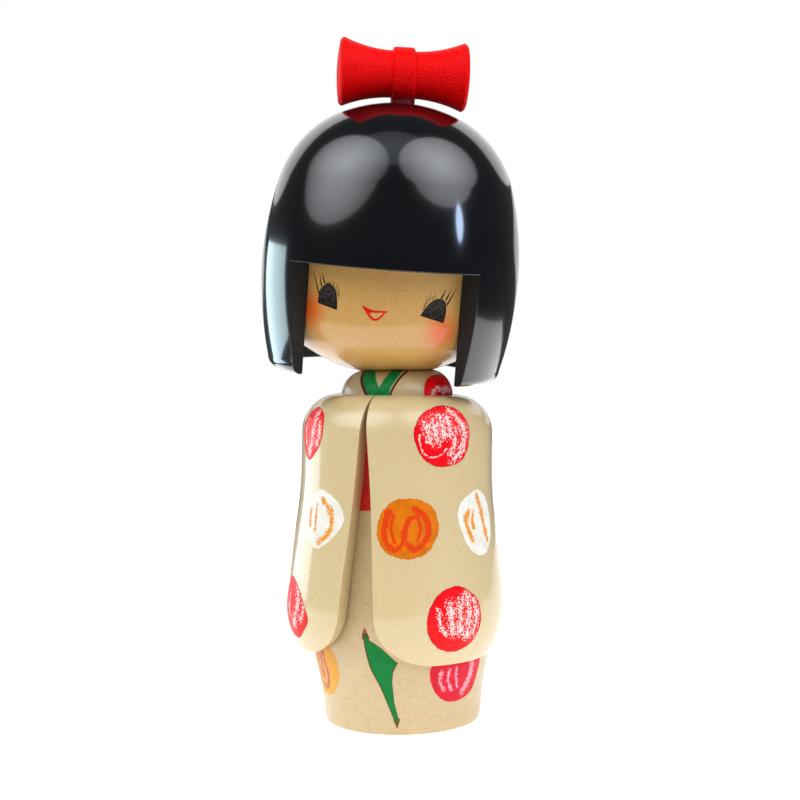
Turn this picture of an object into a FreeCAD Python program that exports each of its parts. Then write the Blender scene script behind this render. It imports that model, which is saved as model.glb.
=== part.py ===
import FreeCAD, Part
import math
import os

import Sketcher

# A turned and painted wooden kokeshi doll: a bell-shaped body between two half-bell sleeves, and a
# bobbed head of hair with a bow, which leans a little in the dished top of the neck.
# Millimetres. The origin is the centre of the flat base, +Z is up and the doll's front faces -Y.
# Left and right are as seen from the front, so the right sleeve is on the +X side.
# The pieces of the head are drawn upright on their own turning axis, with the lowest point of the
# jaw at height 0, and are leaned together about the centre of the jaw's ball.

DIMENSIONS = {
    # Turned body: foot, skirt, chest and shoulder, then the dome of the neck.
    "foot_face_radius": 17.9,
    "foot_radius": 18.8,
    "foot_round": 0.9,
    "hem_radius": 20.9,
    "hem_height": 15.0,
    "hem_bend": 75.0,
    "hip_radius": 21.6,
    "hip_height": 27.0,
    "hip_bend": 48.0,
    "waist_radius": 18.3,
    "waist_height": 54.0,
    "chest_radius": 18.0,
    "chest_low": 58.0,
    "chest_high": 68.7,
    "shoulder_bend": 4.3,
    "shoulder_height": 73.0,
    "dome_radius": 13.4,
    "dome_height": 78.2,
    "dome_bend": 6.0,
    "neck_radius": 8.8,
    "neck_height": 84.1,
    # Sleeves: a thick bell turned to fit the body, sawn front to back in a wedge.
    "sleeve_tip_radius": 21.5,
    "sleeve_hem_bend": 16.4,
    "sleeve_hip_radius": 26.7,
    "sleeve_hip_height": 28.6,
    "sleeve_waist_radius": 23.3,
    "sleeve_waist_height": 53.0,
    "sleeve_chest_radius": 22.9,
    "sleeve_chest_low": 58.0,
    "sleeve_chest_high": 69.8,
    "sleeve_shoulder_bend": 9.2,
    "sleeve_crown_radius": 14.6,
    "sleeve_crown_height": 78.3,
    "slit_top_half": 0.16,
    "slit_low_half": 4.3,
    "slit_low_height": 29.0,
    "right_corner_bend": 12.2,
    "right_corner_span": 16.5,
    "right_hem_height": 16.8,
    "left_corner_bend": 11.0,
    "left_corner_span": 15.3,
    "left_hem_height": 18.0,
    "bell_bore": 12.0,
    "bell_low": 15.0,
    "cut_floor": 5.0,
    "cut_roof": 90.0,
    "cut_span": 40.0,
    "cut_depth": 80.0,
    "sleeve_pivot": 75.0,
    "sleeve_lean": 1.75,
    "sleeve_bearing": 110.0,
    # Neck peg: tight in the body, free to turn in the head.
    "neck_peg_radius": 3.0,
    "neck_peg_length": 30.0,
    "neck_peg_low": 68.0,
    "neck_peg_play": 0.05,
    "peg_end_room": 1.0,
    "peg_chamfer": 0.6,
    # Head: a ball-shaped jaw that rolls up into a cylinder and closes in a low dome.
    "ball_radius": 37.5,
    "seat_play": 0.12,
    "jaw_radius": 20.5,
    "jaw_height": 6.1,
    "jaw_bend": 10.4,
    "head_radius": 25.2,
    "head_low": 14.8,
    "head_high": 43.0,
    "head_bend": 14.0,
    "head_top_radius": 11.2,
    "head_top": 57.0,
    "head_lean": 8.4,
    "lean_bearing": 58.8,
    # Hair cap: one turning with a deep bore and a window sawn for the face.
    "rim_height": 0.4,
    "rim_face_radius": 26.0,
    "rim_radius": 28.2,
    "rim_round": 2.4,
    "rim_round_height": 2.8,
    "hair_radius": 31.0,
    "hair_height": 25.0,
    "hair_side_bend": 75.0,
    "hair_skirt_bend": 90.0,
    "hair_shoulder_radius": 28.0,
    "hair_shoulder_height": 45.5,
    "hair_shoulder_bend": 25.4,
    "crown_radius": 15.0,
    "crown_height": 61.5,
    "crown_bend": 34.6,
    "crown_top": 64.95,
    "window_top": 26.6,
    "window_half_angle": 44.2,
    "window_inside": 20.0,
    "window_outside": 40.0,
    "window_floor": 1.0,
    "hair_turn": 16.9,
    # Bow: one spool turned on its side, held by a peg in the crown.
    "bow_peg_radius": 2.9,
    "bow_peg_length": 13.5,
    "bow_peg_low": 59.0,
    "bow_peg_clear": 60.0,
    "bow_half_length": 15.7,
    "bow_centre_radius": 1.5,
    "bow_end_half": 15.1,
    "bow_end_radius": 7.3,
    "bow_band_half": 14.2,
    "bow_rim_radius": 8.0,
    "bow_end_bend": 45.0,
    "bow_edge_bend": 1.2,
    "bow_flare_bend": 30.0,
    "bow_waist_radius": 5.5,
    "knot_half": 2.6,
    "knot_edge_half": 2.0,
    "knot_radius": 6.4,
    "knot_edge_radius": 5.9,
    "knot_edge_bend": 0.7,
    "bow_height": 71.45,
    "bow_shift": -0.4,
    "bow_turn": 24.7,
    "bow_roll": -1.5,
}

document = FreeCAD.newDocument("kokeshi_doll")
sheet = document.addObject("Spreadsheet::Sheet", "Dims")
for row, (alias, value) in enumerate(DIMENSIONS.items(), start=1):
    sheet.set("A%d" % row, alias)
    sheet.set("B%d" % row, str(value))
    sheet.setAlias("B%d" % row, alias)
document.recompute()


def size(alias):
    """Return the number that a cell of the sheet holds."""
    return float(getattr(sheet, alias))


def make_body(label):
    """Return a new PartDesign body with its label."""
    body = document.addObject("PartDesign::Body", label)
    body.Label = label
    return body


def make_sketch(body, name, role):
    """Return a sketch of the body on its own origin plane of that role."""
    sketch = body.newObject("Sketcher::SketchObject", name)
    planes = [item for item in body.Origin.OriginFeatures if item.Role == role]
    sketch.AttachmentSupport = [(planes[0], "")]
    sketch.MapMode = "FlatFace"
    return sketch


def place_point(sketch, item, end, axis, alias):
    """Hold one coordinate of a point at a cell's value, or on the axis where the alias is empty."""
    across = axis == "X"
    if not alias:
        sketch.addConstraint(Sketcher.Constraint("PointOnObject", item, end, -2 if across else -1))
        return
    kind = "Distance" + axis
    value = size(alias.lstrip("-"))
    if alias.startswith("-"):
        number = sketch.addConstraint(Sketcher.Constraint(kind, item, end, -1, 1, value))
    else:
        number = sketch.addConstraint(Sketcher.Constraint(kind, -1, 1, item, end, value))
    sketch.renameConstraint(number, "%s_%d" % (kind, number))
    sketch.setExpression("Constraints.%s_%d" % (kind, number), "Dims." + alias.lstrip("-"))


def corner_point(corner):
    """Return a corner's starting place, worked out from the sheet."""
    numbers = []
    for alias in corner[:2]:
        sign = -1.0 if alias.startswith("-") else 1.0
        numbers.append(sign * size(alias.lstrip("-")) if alias else 0.0)
    return FreeCAD.Vector(numbers[0], numbers[1], 0.0)


def draw_outline(sketch, corners):
    """Draw a closed outline through the corners.

    Each corner is (across alias, up alias, bend alias, side). The bend is the radius of the arc to
    the next corner, or empty for a straight run. The side is +1 where the arc turns left along the
    way and -1 where it turns right.
    """
    ends = []
    for index, corner in enumerate(corners):
        start = corner_point(corner)
        finish = corner_point(corners[(index + 1) % len(corners)])
        if not corner[2]:
            item = sketch.addGeometry(Part.LineSegment(start, finish), False)
            ends.append((item, 1, 2))
            continue
        chord = finish - start
        half = chord.Length / 2.0
        rise = size(corner[2]) - math.sqrt(size(corner[2]) ** 2 - half ** 2)
        outward = FreeCAD.Vector(chord.y, -chord.x, 0.0).normalize() * (rise * corner[3])
        middle = (start + finish) * 0.5 + outward
        if corner[3] > 0:
            item = sketch.addGeometry(Part.Arc(start, middle, finish), False)
            ends.append((item, 1, 2))
        else:
            item = sketch.addGeometry(Part.Arc(finish, middle, start), False)
            ends.append((item, 2, 1))
        number = sketch.addConstraint(Sketcher.Constraint("Radius", item, size(corner[2])))
        sketch.renameConstraint(number, "Radius_%d" % number)
        sketch.setExpression("Constraints.Radius_%d" % number, "Dims." + corner[2])
    for index, (item, first, last) in enumerate(ends):
        following = ends[(index + 1) % len(ends)]
        sketch.addConstraint(Sketcher.Constraint("Coincident", item, last, following[0], following[1]))
        place_point(sketch, item, first, "X", corners[index][0])
        place_point(sketch, item, first, "Y", corners[index][1])


def turn(body, name, corners, axis="V_Axis"):
    """Turn a closed outline a full circle about the sketch's own axis, as on a lathe."""
    sketch = make_sketch(body, name + "_outline", "XZ_Plane")
    draw_outline(sketch, corners)
    document.recompute()
    revolution = body.newObject("PartDesign::Revolution", name)
    revolution.Profile = sketch
    revolution.ReferenceAxis = (sketch, [axis])
    revolution.Angle = 360.0
    document.recompute()
    return revolution


def check_cut(body, feature, before):
    """Stop if a cut took nothing away."""
    document.recompute()
    if body.Shape.Volume >= before - 1.0:
        raise RuntimeError(feature.Name + " cuts nothing")


def bore_up(body, name, radius, low):
    """Bore a round hole on the body's own Z axis from a height to the open air."""
    before = body.Shape.Volume
    sketch = make_sketch(body, name + "_circle", "XY_Plane")
    sketch.setExpression("AttachmentOffset.Base.z", low)
    sketch.addGeometry(Part.Circle(FreeCAD.Vector(), FreeCAD.Vector(0, 0, 1), size(radius)), False)
    sketch.addConstraint(Sketcher.Constraint("Coincident", 0, 3, -1, 1))
    sketch.addConstraint(Sketcher.Constraint("Radius", 0, size(radius)))
    sketch.renameConstraint(1, "bore_radius")
    sketch.setExpression("Constraints.bore_radius", "Dims." + radius)
    document.recompute()
    pocket = body.newObject("PartDesign::Pocket", name)
    pocket.Profile = sketch
    pocket.Type = "ThroughAll"
    pocket.Reversed = True
    check_cut(body, pocket, before)


def make_dowel(label, radius, length):
    """Return a round peg with both ends chamfered, standing on its own origin."""
    body = make_body(label)
    sketch = make_sketch(body, label + "_circle", "XY_Plane")
    sketch.addGeometry(Part.Circle(FreeCAD.Vector(), FreeCAD.Vector(0, 0, 1), size(radius)), False)
    sketch.addConstraint(Sketcher.Constraint("Coincident", 0, 3, -1, 1))
    sketch.addConstraint(Sketcher.Constraint("Radius", 0, size(radius)))
    sketch.renameConstraint(1, "peg_radius")
    sketch.setExpression("Constraints.peg_radius", "Dims." + radius)
    pad = body.newObject("PartDesign::Pad", label + "_pad")
    pad.Profile = sketch
    pad.setExpression("Length", "Dims." + length)
    document.recompute()
    rims = []
    for number, edge in enumerate(pad.Shape.Edges, start=1):
        if isinstance(edge.Curve, Part.Circle):
            rims.append("Edge%d" % number)
    chamfer = body.newObject("PartDesign::Chamfer", label + "_chamfer")
    chamfer.Base = (pad, rims)
    chamfer.setExpression("Size", "Dims.peg_chamfer")
    document.recompute()
    return body


def lean(bearing, angle, pivot):
    """Return the turn that leans an upright axis at a pivot height towards a bearing.

    The bearing is counted from the front, -Y, towards +X.
    """
    turned = math.radians(size(bearing))
    across = FreeCAD.Vector(math.cos(turned), math.sin(turned), 0.0)
    return FreeCAD.Placement(FreeCAD.Vector(0.0, 0.0, pivot), FreeCAD.Rotation(across, size(angle)))


def head_placement(turned=0.0, lift=0.0, shift=0.0):
    """Return the place of a piece of the head: set on the head's axis, turned, then leaned.

    The lean is about the centre of the jaw's ball, which stands over the middle of the neck.
    """
    rise = math.sqrt(size("ball_radius") ** 2 - size("neck_radius") ** 2)
    leaned = lean("lean_bearing", "head_lean", size("neck_height") + rise)
    upright = FreeCAD.Placement(
        FreeCAD.Vector(), FreeCAD.Rotation(FreeCAD.Vector(0, 0, 1), turned))
    drawn = FreeCAD.Vector(shift, 0.0, lift - size("ball_radius"))
    return leaned * upright * FreeCAD.Placement(drawn, FreeCAD.Rotation())


def build_body():
    """Body: turned from one block, with a dished neck and a blind bore for the neck peg."""
    body = make_body("body")
    turn(body, "body_turning", [
        ("", "", "", 0),
        ("foot_face_radius", "", "foot_round", 1),
        ("foot_radius", "foot_round", "hem_bend", -1),
        ("hem_radius", "hem_height", "hip_bend", 1),
        ("hip_radius", "hip_height", "", 0),
        ("waist_radius", "waist_height", "", 0),
        ("chest_radius", "chest_low", "", 0),
        ("chest_radius", "chest_high", "shoulder_bend", 1),
        ("dome_radius", "shoulder_height", "", 0),
        ("dome_radius", "dome_height", "dome_bend", 1),
        ("neck_radius", "neck_height", "", 0),
        ("", "neck_height", "", 0),
    ])
    before = body.Shape.Volume
    seat = body.newObject("PartDesign::SubtractiveSphere", "neck_seat")
    planes = [item for item in body.Origin.OriginFeatures if item.Role == "XY_Plane"]
    seat.AttachmentSupport = [(planes[0], "")]
    seat.MapMode = "FlatFace"
    seat.setExpression("Radius", "Dims.ball_radius + Dims.seat_play")
    seat.setExpression(
        "AttachmentOffset.Base.z",
        "Dims.neck_height + sqrt(Dims.ball_radius ^ 2 - Dims.neck_radius ^ 2)")
    check_cut(body, seat, before)
    bore_up(body, "neck_bore", "neck_peg_radius", "Dims.neck_peg_low - Dims.peg_end_room")
    return body


def cut_away(label, base, tool):
    """Return the base with the tool's shape cut away."""
    cut = document.addObject("Part::Cut", label)
    cut.Label = label
    cut.Base = base
    cut.Tool = tool
    document.recompute()
    if cut.Shape.Volume >= base.Shape.Volume - 1.0:
        raise RuntimeError(label + " cuts nothing")
    return cut


def build_waste(side):
    """Return the wood that the saw takes from one side of the bell's middle and from under its hem.

    It is drawn for the right sleeve and mirrored where the side is the left.
    """
    waste = make_body(side + "_waste")
    sketch = make_sketch(waste, side + "_slit_outline", "XZ_Plane")
    draw_outline(sketch, [
        ("slit_top_half", "sleeve_crown_height", "", 0),
        ("slit_low_half", "slit_low_height", side + "_corner_bend", 1),
        (side + "_corner_span", side + "_hem_height", "", 0),
        ("cut_span", side + "_hem_height", "", 0),
        ("cut_span", "cut_floor", "", 0),
        ("-cut_span", "cut_floor", "", 0),
        ("-cut_span", "cut_roof", "", 0),
        ("slit_top_half", "cut_roof", "", 0),
    ])
    document.recompute()
    pad = waste.newObject("PartDesign::Pad", side + "_slit_pad")
    pad.Profile = sketch
    pad.Midplane = True
    pad.setExpression("Length", "Dims.cut_depth")
    document.recompute()
    if side == "right":
        return waste
    mirror = document.addObject("Part::Mirroring", side + "_waste_mirrored")
    mirror.Source = waste
    mirror.Normal = FreeCAD.Vector(1, 0, 0)
    document.recompute()
    return mirror


def build_sleeves(core):
    """Sleeves: a bell turned, hollowed to fit the body, and sawn in two in a wedge.

    The bell leans a little on the body, so the left sleeve stands out further than the right, and
    its hem is trimmed a little higher.
    """
    bell = make_body("sleeve_bell")
    turn(bell, "bell_turning", [
        ("bell_bore", "bell_low", "", 0),
        ("sleeve_tip_radius", "bell_low", "sleeve_hem_bend", 1),
        ("sleeve_hip_radius", "sleeve_hip_height", "", 0),
        ("sleeve_waist_radius", "sleeve_waist_height", "", 0),
        ("sleeve_chest_radius", "sleeve_chest_low", "", 0),
        ("sleeve_chest_radius", "sleeve_chest_high", "sleeve_shoulder_bend", 1),
        ("sleeve_crown_radius", "sleeve_crown_height", "", 0),
        ("bell_bore", "sleeve_crown_height", "", 0),
    ])
    below = FreeCAD.Placement(
        FreeCAD.Vector(0.0, 0.0, -size("sleeve_pivot")), FreeCAD.Rotation())
    leaned = lean("sleeve_bearing", "sleeve_lean", size("sleeve_pivot")) * below
    bell.Placement = leaned
    document.recompute()
    hollow = cut_away("sleeve_hollow", bell, core)
    sleeves = []
    for side in ("left", "right"):
        waste = build_waste(side)
        waste.Placement = leaned
        document.recompute()
        sleeves.append(cut_away("sleeve_" + side, hollow, waste))
    return sleeves


def build_neck_peg():
    """Neck peg: the dowel that the head turns on."""
    peg = make_dowel("neck_peg", "neck_peg_radius", "neck_peg_length")
    peg.setExpression("Placement.Base.z", "Dims.neck_peg_low")
    return peg


def build_head():
    """Head: turned, then bored upright for the neck peg while it leans."""
    blank = make_body("head_blank")
    turn(blank, "head_turning", [
        ("", "", "ball_radius", 1),
        ("jaw_radius", "jaw_height", "jaw_bend", 1),
        ("head_radius", "head_low", "", 0),
        ("head_radius", "head_high", "head_bend", 1),
        ("head_top_radius", "head_top", "", 0),
        ("", "head_top", "", 0),
    ])
    bore = document.addObject("Part::Cylinder", "head_bore")
    bore.setExpression("Radius", "Dims.neck_peg_radius + Dims.neck_peg_play")
    bore.setExpression(
        "Height", "Dims.neck_peg_low + Dims.neck_peg_length + 2 * Dims.peg_end_room - Dims.dome_height")
    upright = FreeCAD.Placement(
        FreeCAD.Vector(0.0, 0.0, size("dome_height") - size("peg_end_room")), FreeCAD.Rotation())
    bore.Placement = head_placement().inverse() * upright
    head = cut_away("head", blank, bore)
    head.Placement = head_placement()
    return head


def build_hair_cap():
    """Hair cap: turned outside, bored to the head's shape, with a window sawn for the face."""
    cap = make_body("hair_cap")
    turn(cap, "cap_turning", [
        ("head_radius", "rim_height", "", 0),
        ("rim_face_radius", "rim_height", "rim_round", 1),
        ("rim_radius", "rim_round_height", "hair_skirt_bend", 1),
        ("hair_radius", "hair_height", "hair_side_bend", 1),
        ("hair_shoulder_radius", "hair_shoulder_height", "hair_shoulder_bend", 1),
        ("crown_radius", "crown_height", "crown_bend", 1),
        ("", "crown_top", "", 0),
        ("", "head_top", "", 0),
        ("head_top_radius", "head_top", "head_bend", -1),
        ("head_radius", "head_high", "", 0),
    ])
    before = cap.Shape.Volume
    sketch = make_sketch(cap, "window_outline", "YZ_Plane")
    draw_outline(sketch, [
        ("-window_outside", "-window_floor", "", 0),
        ("-window_inside", "-window_floor", "", 0),
        ("-window_inside", "window_top", "", 0),
        ("-window_outside", "window_top", "", 0),
    ])
    document.recompute()
    window = cap.newObject("PartDesign::Groove", "face_window")
    window.Profile = sketch
    window.ReferenceAxis = (sketch, ["V_Axis"])
    window.Midplane = True
    window.setExpression("Angle", "2 * Dims.window_half_angle")
    check_cut(cap, window, before)
    bore_up(cap, "bow_peg_bore", "bow_peg_radius", "Dims.bow_peg_low - Dims.peg_end_room / 2")
    cap.Placement = head_placement(turned=size("hair_turn"))
    return cap


def build_bow_peg():
    """Bow peg: the dowel that stands in the crown and carries the bow."""
    peg = make_dowel("bow_peg", "bow_peg_radius", "bow_peg_length")
    peg.Placement = head_placement(lift=size("bow_peg_low"))
    return peg


def build_bow():
    """Bow: a spool with domed ends and a raised knot, bored from below for its peg."""
    blank = make_body("bow_blank")
    turn(blank, "bow_turning", [
        ("-bow_half_length", "", "", 0),
        ("bow_half_length", "", "", 0),
        ("bow_half_length", "bow_centre_radius", "bow_end_bend", 1),
        ("bow_end_half", "bow_end_radius", "bow_edge_bend", 1),
        ("bow_band_half", "bow_rim_radius", "bow_flare_bend", -1),
        ("knot_half", "bow_waist_radius", "", 0),
        ("knot_half", "knot_edge_radius", "knot_edge_bend", 1),
        ("knot_edge_half", "knot_radius", "", 0),
        ("-knot_edge_half", "knot_radius", "knot_edge_bend", 1),
        ("-knot_half", "knot_edge_radius", "", 0),
        ("-knot_half", "bow_waist_radius", "bow_flare_bend", -1),
        ("-bow_band_half", "bow_rim_radius", "bow_edge_bend", 1),
        ("-bow_end_half", "bow_end_radius", "bow_end_bend", 1),
        ("-bow_half_length", "bow_centre_radius", "", 0),
    ], axis="H_Axis")
    peg_hole = document.addObject("Part::Cylinder", "bow_bore")
    peg_hole.setExpression("Radius", "Dims.bow_peg_radius")
    peg_hole.setExpression(
        "Height",
        "Dims.bow_peg_low + Dims.bow_peg_length + Dims.peg_end_room / 2 - Dims.bow_peg_clear")
    rolled = FreeCAD.Placement(
        FreeCAD.Vector(), FreeCAD.Rotation(FreeCAD.Vector(0, 1, 0), size("bow_roll")))
    place = head_placement(
        turned=size("bow_turn"), lift=size("bow_height"), shift=size("bow_shift")) * rolled
    below = head_placement(lift=size("bow_peg_clear"))
    peg_hole.Placement = place.inverse() * below
    bow = cut_away("bow", blank, peg_hole)
    bow.Placement = place
    return bow


def check_document():
    """Stop if any object failed, or any shape is missing or broken."""
    document.recompute()
    for item in document.Objects:
        for word in ("Invalid", "Error"):
            if word in item.State:
                raise RuntimeError("%s is %s" % (item.Name, word))


def write_part(part):
    """Write one sub-part, as solids in the doll's frame, to the file that its label names."""
    shape = part.Shape
    if shape.isNull() or not shape.isValid() or not shape.Solids:
        raise RuntimeError(part.Label + " has no valid solid")
    shape.exportStep(os.path.join("parts", part.Label + ".step"))
    box = shape.optimalBoundingBox()
    print("%-13s %9.1f mm3  z %6.2f to %6.2f" % (part.Label, shape.Volume, box.ZMin, box.ZMax))


doll_body = build_body()
parts = [doll_body]
parts += build_sleeves(doll_body)
parts += [build_neck_peg(), build_head(), build_hair_cap(), build_bow_peg(), build_bow()]
check_document()
os.makedirs("parts", exist_ok=True)
for part in parts:
    write_part(part)
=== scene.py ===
"""Kokeshi doll: turned wooden body, sleeves, head, lacquered hair cap and red bow, dressed for display."""
import logging
import math
from dataclasses import dataclass, field
from enum import Enum

import bmesh
import bpy
import numpy as np
from mathutils import Matrix, Vector


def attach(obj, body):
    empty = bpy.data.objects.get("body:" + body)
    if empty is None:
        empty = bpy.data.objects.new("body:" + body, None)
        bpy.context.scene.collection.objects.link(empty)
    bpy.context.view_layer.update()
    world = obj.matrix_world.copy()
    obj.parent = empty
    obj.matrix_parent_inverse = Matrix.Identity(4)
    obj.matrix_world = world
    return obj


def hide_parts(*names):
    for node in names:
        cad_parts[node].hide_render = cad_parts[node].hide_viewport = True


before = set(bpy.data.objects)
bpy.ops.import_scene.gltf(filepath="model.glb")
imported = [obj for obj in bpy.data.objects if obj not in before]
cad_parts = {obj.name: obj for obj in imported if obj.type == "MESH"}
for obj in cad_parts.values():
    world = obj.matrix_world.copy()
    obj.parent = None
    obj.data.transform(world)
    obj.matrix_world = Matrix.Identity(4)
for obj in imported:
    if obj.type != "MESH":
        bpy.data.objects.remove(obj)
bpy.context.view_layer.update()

log = logging.getLogger("kokeshi")

MM = 0.001  # one millimetre in the frame's metres
Points = np.ndarray
Line = list[tuple[float, float]]
Corner = tuple[float, float, float]


class Body(Enum):
    """The two bodies of the doll, which turn on each other at the neck."""

    TORSO = "torso"
    HEAD = "head_group"


class Slot(Enum):
    """The finishes that the part's record names."""

    BODY = "body_wood"
    SLEEVE = "sleeve_wood"
    PEG = "peg_wood"
    FACE = "face_wood"
    HAIR = "hair_lacquer"
    BOW = "bow_lacquer"


class Side(Enum):
    """Left or right as seen from the front, as the sign of x."""

    LEFT = -1
    RIGHT = 1


class Measure(Enum):
    """How far up a skin a distance goes: straight up, or along the profile where that is too steep."""

    HEIGHT = "height"
    LENGTH = "length"


class Axis(Enum):
    """The way that a lathe's axis lies: up the doll, or across it."""

    UPRIGHT = "upright"
    CROSSWISE = "crosswise"


# ---------------------------------------------------------------- shapes


def outline(corners: list[Corner], step: float) -> Points:
    """Profile through corners, with a circular arc wherever a corner has a bend.

    Each corner is (across, up, bend) in mm. The bend is the arc's radius as far as the next corner, and
    0 is a straight run. The arc bulges to the right of the way it runs, or to the left if the bend is
    negative: point = centre + radius * (side * cos(a) + chord * sin(a)), with a from minus to plus half
    the arc's angle.

    Args:
        corners: the corners in order.
        step: the longest distance between two points, in mm.

    Returns:
        The points, one row of (across, up) for each.
    """
    pieces = []
    for (across, up, bend), (next_across, next_up, _) in zip(corners[:-1], corners[1:]):
        start = np.array([across, up])
        chord = np.array([next_across, next_up]) - start
        length = float(np.hypot(*chord))
        count = max(1, math.ceil(length / step))
        share = np.arange(count) / count
        if bend == 0:
            pieces.append(start + share[:, None] * chord)
            continue
        along = chord / length
        side = np.array([along[1], -along[0]]) * math.copysign(1.0, bend)
        radius = abs(bend)
        half = math.asin(length / 2 / radius)
        centre = start + chord / 2 - side * radius * math.cos(half)
        angle = (2 * share - 1)[:, None] * half
        pieces.append(centre + radius * (side * np.cos(angle) + along * np.sin(angle)))
    pieces.append(np.array([corners[-1][:2]], dtype=float))
    return np.concatenate(pieces)


def flowing(points: Line, closed: bool, count: int) -> Points:
    """Smooth line through points, as a Catmull-Rom curve; a point given twice is a corner.

    Between b and c, with a before and d after, and t from 0 to 1, the point is
    (2b + (c - a) t + (2a - 5b + 4c - d) t^2 + (3b - a - 3c + d) t^3) / 2.

    Args:
        points: the points in mm.
        closed: whether the last point joins the first.
        count: how many points to return.

    Returns:
        The points of the line, evenly shared among its spans.
    """
    given = np.array(points, dtype=float)
    if closed:
        ring = np.concatenate([given[-1:], given, given[:2]])
    else:
        ring = np.concatenate([given[:1], given, given[-1:]])
    real = np.flatnonzero(np.abs(np.diff(ring, axis=0)).sum(1)[1:-1])
    place = np.linspace(0, len(real), count, endpoint=not closed)
    number = np.minimum(place.astype(int), len(real) - 1)
    t = (place - number)[:, None]
    a, b, c, d = (ring[real[number] + k] for k in range(4))
    return (2 * b + (c - a) * t + (2 * a - 5 * b + 4 * c - d) * t ** 2 + (3 * b - a - 3 * c + d) * t ** 3) / 2


def softened(profile: Points, reach: int) -> Points:
    """A profile with its faint corners sanded away: each radius is the mean of those within reach rows.

    Near the ends the reach shrinks with the distance to the end, so that both ends stay where they are.

    Args:
        profile: rows of (radius, height).
        reach: how many rows on each side are averaged.

    Returns:
        The profile with new radii at the same heights.
    """
    row = np.arange(len(profile))
    near = np.minimum(np.minimum(row, row[::-1]), reach)
    total = np.concatenate([[0.0], np.cumsum(profile[:, 0])])
    mean = (total[row + near + 1] - total[row - near]) / (2 * near + 1)
    return np.stack([mean, profile[:, 1]], axis=1)


def follow(points: Points, line: Points) -> tuple[Points, Points]:
    """How far points lie from a line, and how far along it their nearest places are.

    Each span's nearest place is the point's shadow on it, held to the span's ends.

    Args:
        points: the points in mm, one row each.
        line: the line's points in mm.

    Returns:
        The distances off the line and the distances along it, in mm.
    """
    start, span = line[:-1], np.diff(line, axis=0)
    size = np.maximum(np.hypot(span[:, 0], span[:, 1]), 1e-9)
    offset = points[:, None, :] - start[None]
    share = np.clip((offset * span).sum(2) / size ** 2, 0, 1)
    gap = np.linalg.norm(offset - share[:, :, None] * span, axis=2)
    nearest = gap.argmin(1)
    row = np.arange(len(points))
    travelled = np.concatenate([[0.0], np.cumsum(size)])[:-1]
    return gap[row, nearest], travelled[nearest] + share[row, nearest] * size[nearest]


def lattice(rows: int, columns: int) -> np.ndarray:
    """Corner numbers of the quads of a grid that closes round its columns.

    Points are numbered row by row. A quad joins a point, the next in its row, and the two above them.

    Args:
        rows: how many rows of points there are.
        columns: how many points a row has.

    Returns:
        Four corner numbers for each quad.
    """
    row = np.arange(rows - 1)[:, None]
    column = np.arange(columns)[None]
    after = (column + 1) % columns
    low, high = row * columns, (row + 1) * columns
    quads = np.broadcast_arrays(low + column, low + after, high + after, high + column)
    return np.stack(quads, axis=-1).reshape(-1, 4)


def tube(rows: int, columns: int) -> list[list[int]]:
    """Faces of a stack of closed loops, with one flat face over each end.

    Args:
        rows: how many loops there are.
        columns: how many points a loop has.

    Returns:
        The corner numbers of each face.
    """
    last = (rows - 1) * columns
    return lattice(rows, columns).tolist() + [list(range(columns)), list(range(last, last + columns))]


@dataclass(frozen=True)
class Stance:
    """How a turned piece stands: turned about its own axis, then leaned about a point on the doll's axis."""

    pivot: float = 0.0  # height of the point it leans about, mm
    drop: float = 0.0  # how far the piece's own zero lies below that point, mm
    lean: float = 0.0  # degrees from upright
    bearing: float = 0.0  # the way it leans, degrees from the front towards the right
    turned: float = 0.0  # degrees from the front towards the right

    def matrix(self) -> np.ndarray:
        """Turn about the upright axis, then lean about the level axis that is square to the bearing."""
        level = Vector((math.cos(math.radians(self.bearing)), math.sin(math.radians(self.bearing)), 0))
        leaned = Matrix.Rotation(math.radians(self.lean), 3, level)
        return np.array(leaned @ Matrix.Rotation(math.radians(self.turned), 3, "Z"))

    def place(self, points: Points) -> Points:
        """Points of the piece's own space, moved to where it stands on the doll."""
        return (points - [0, 0, self.drop]) @ self.matrix().T + [0, 0, self.pivot]

    def facing(self, turned: float) -> "Stance":
        """The same stance with another turn about the piece's own axis."""
        return Stance(self.pivot, self.drop, self.lean, self.bearing, turned)


@dataclass
class Sheet:
    """A mesh in the making: points in mm, faces, the finish of each face, and marks on the points."""

    points: Points
    faces: list
    finish: list[int] = field(default_factory=list)
    marks: dict[str, Points] = field(default_factory=dict)

    def __post_init__(self) -> None:
        """Faces with no finish named take the first."""
        self.finish = self.finish or [0] * len(self.faces)


def joined(sheets: list[Sheet]) -> Sheet:
    """One sheet of several, each keeping its own faces, finishes and marks.

    Args:
        sheets: the sheets; a mark that one of them lacks is 0 on its points.

    Returns:
        The joined sheet.
    """
    faces, finish, start = [], [], 0
    for sheet in sheets:
        faces += [[corner + start for corner in face] for face in sheet.faces]
        finish += sheet.finish
        start += len(sheet.points)
    names = {name for sheet in sheets for name in sheet.marks}
    marks = {name: np.concatenate([sheet.marks.get(name, np.zeros(len(sheet.points))) for sheet in sheets])
             for name in names}
    return Sheet(np.concatenate([sheet.points for sheet in sheets]), faces, finish, marks)


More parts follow.
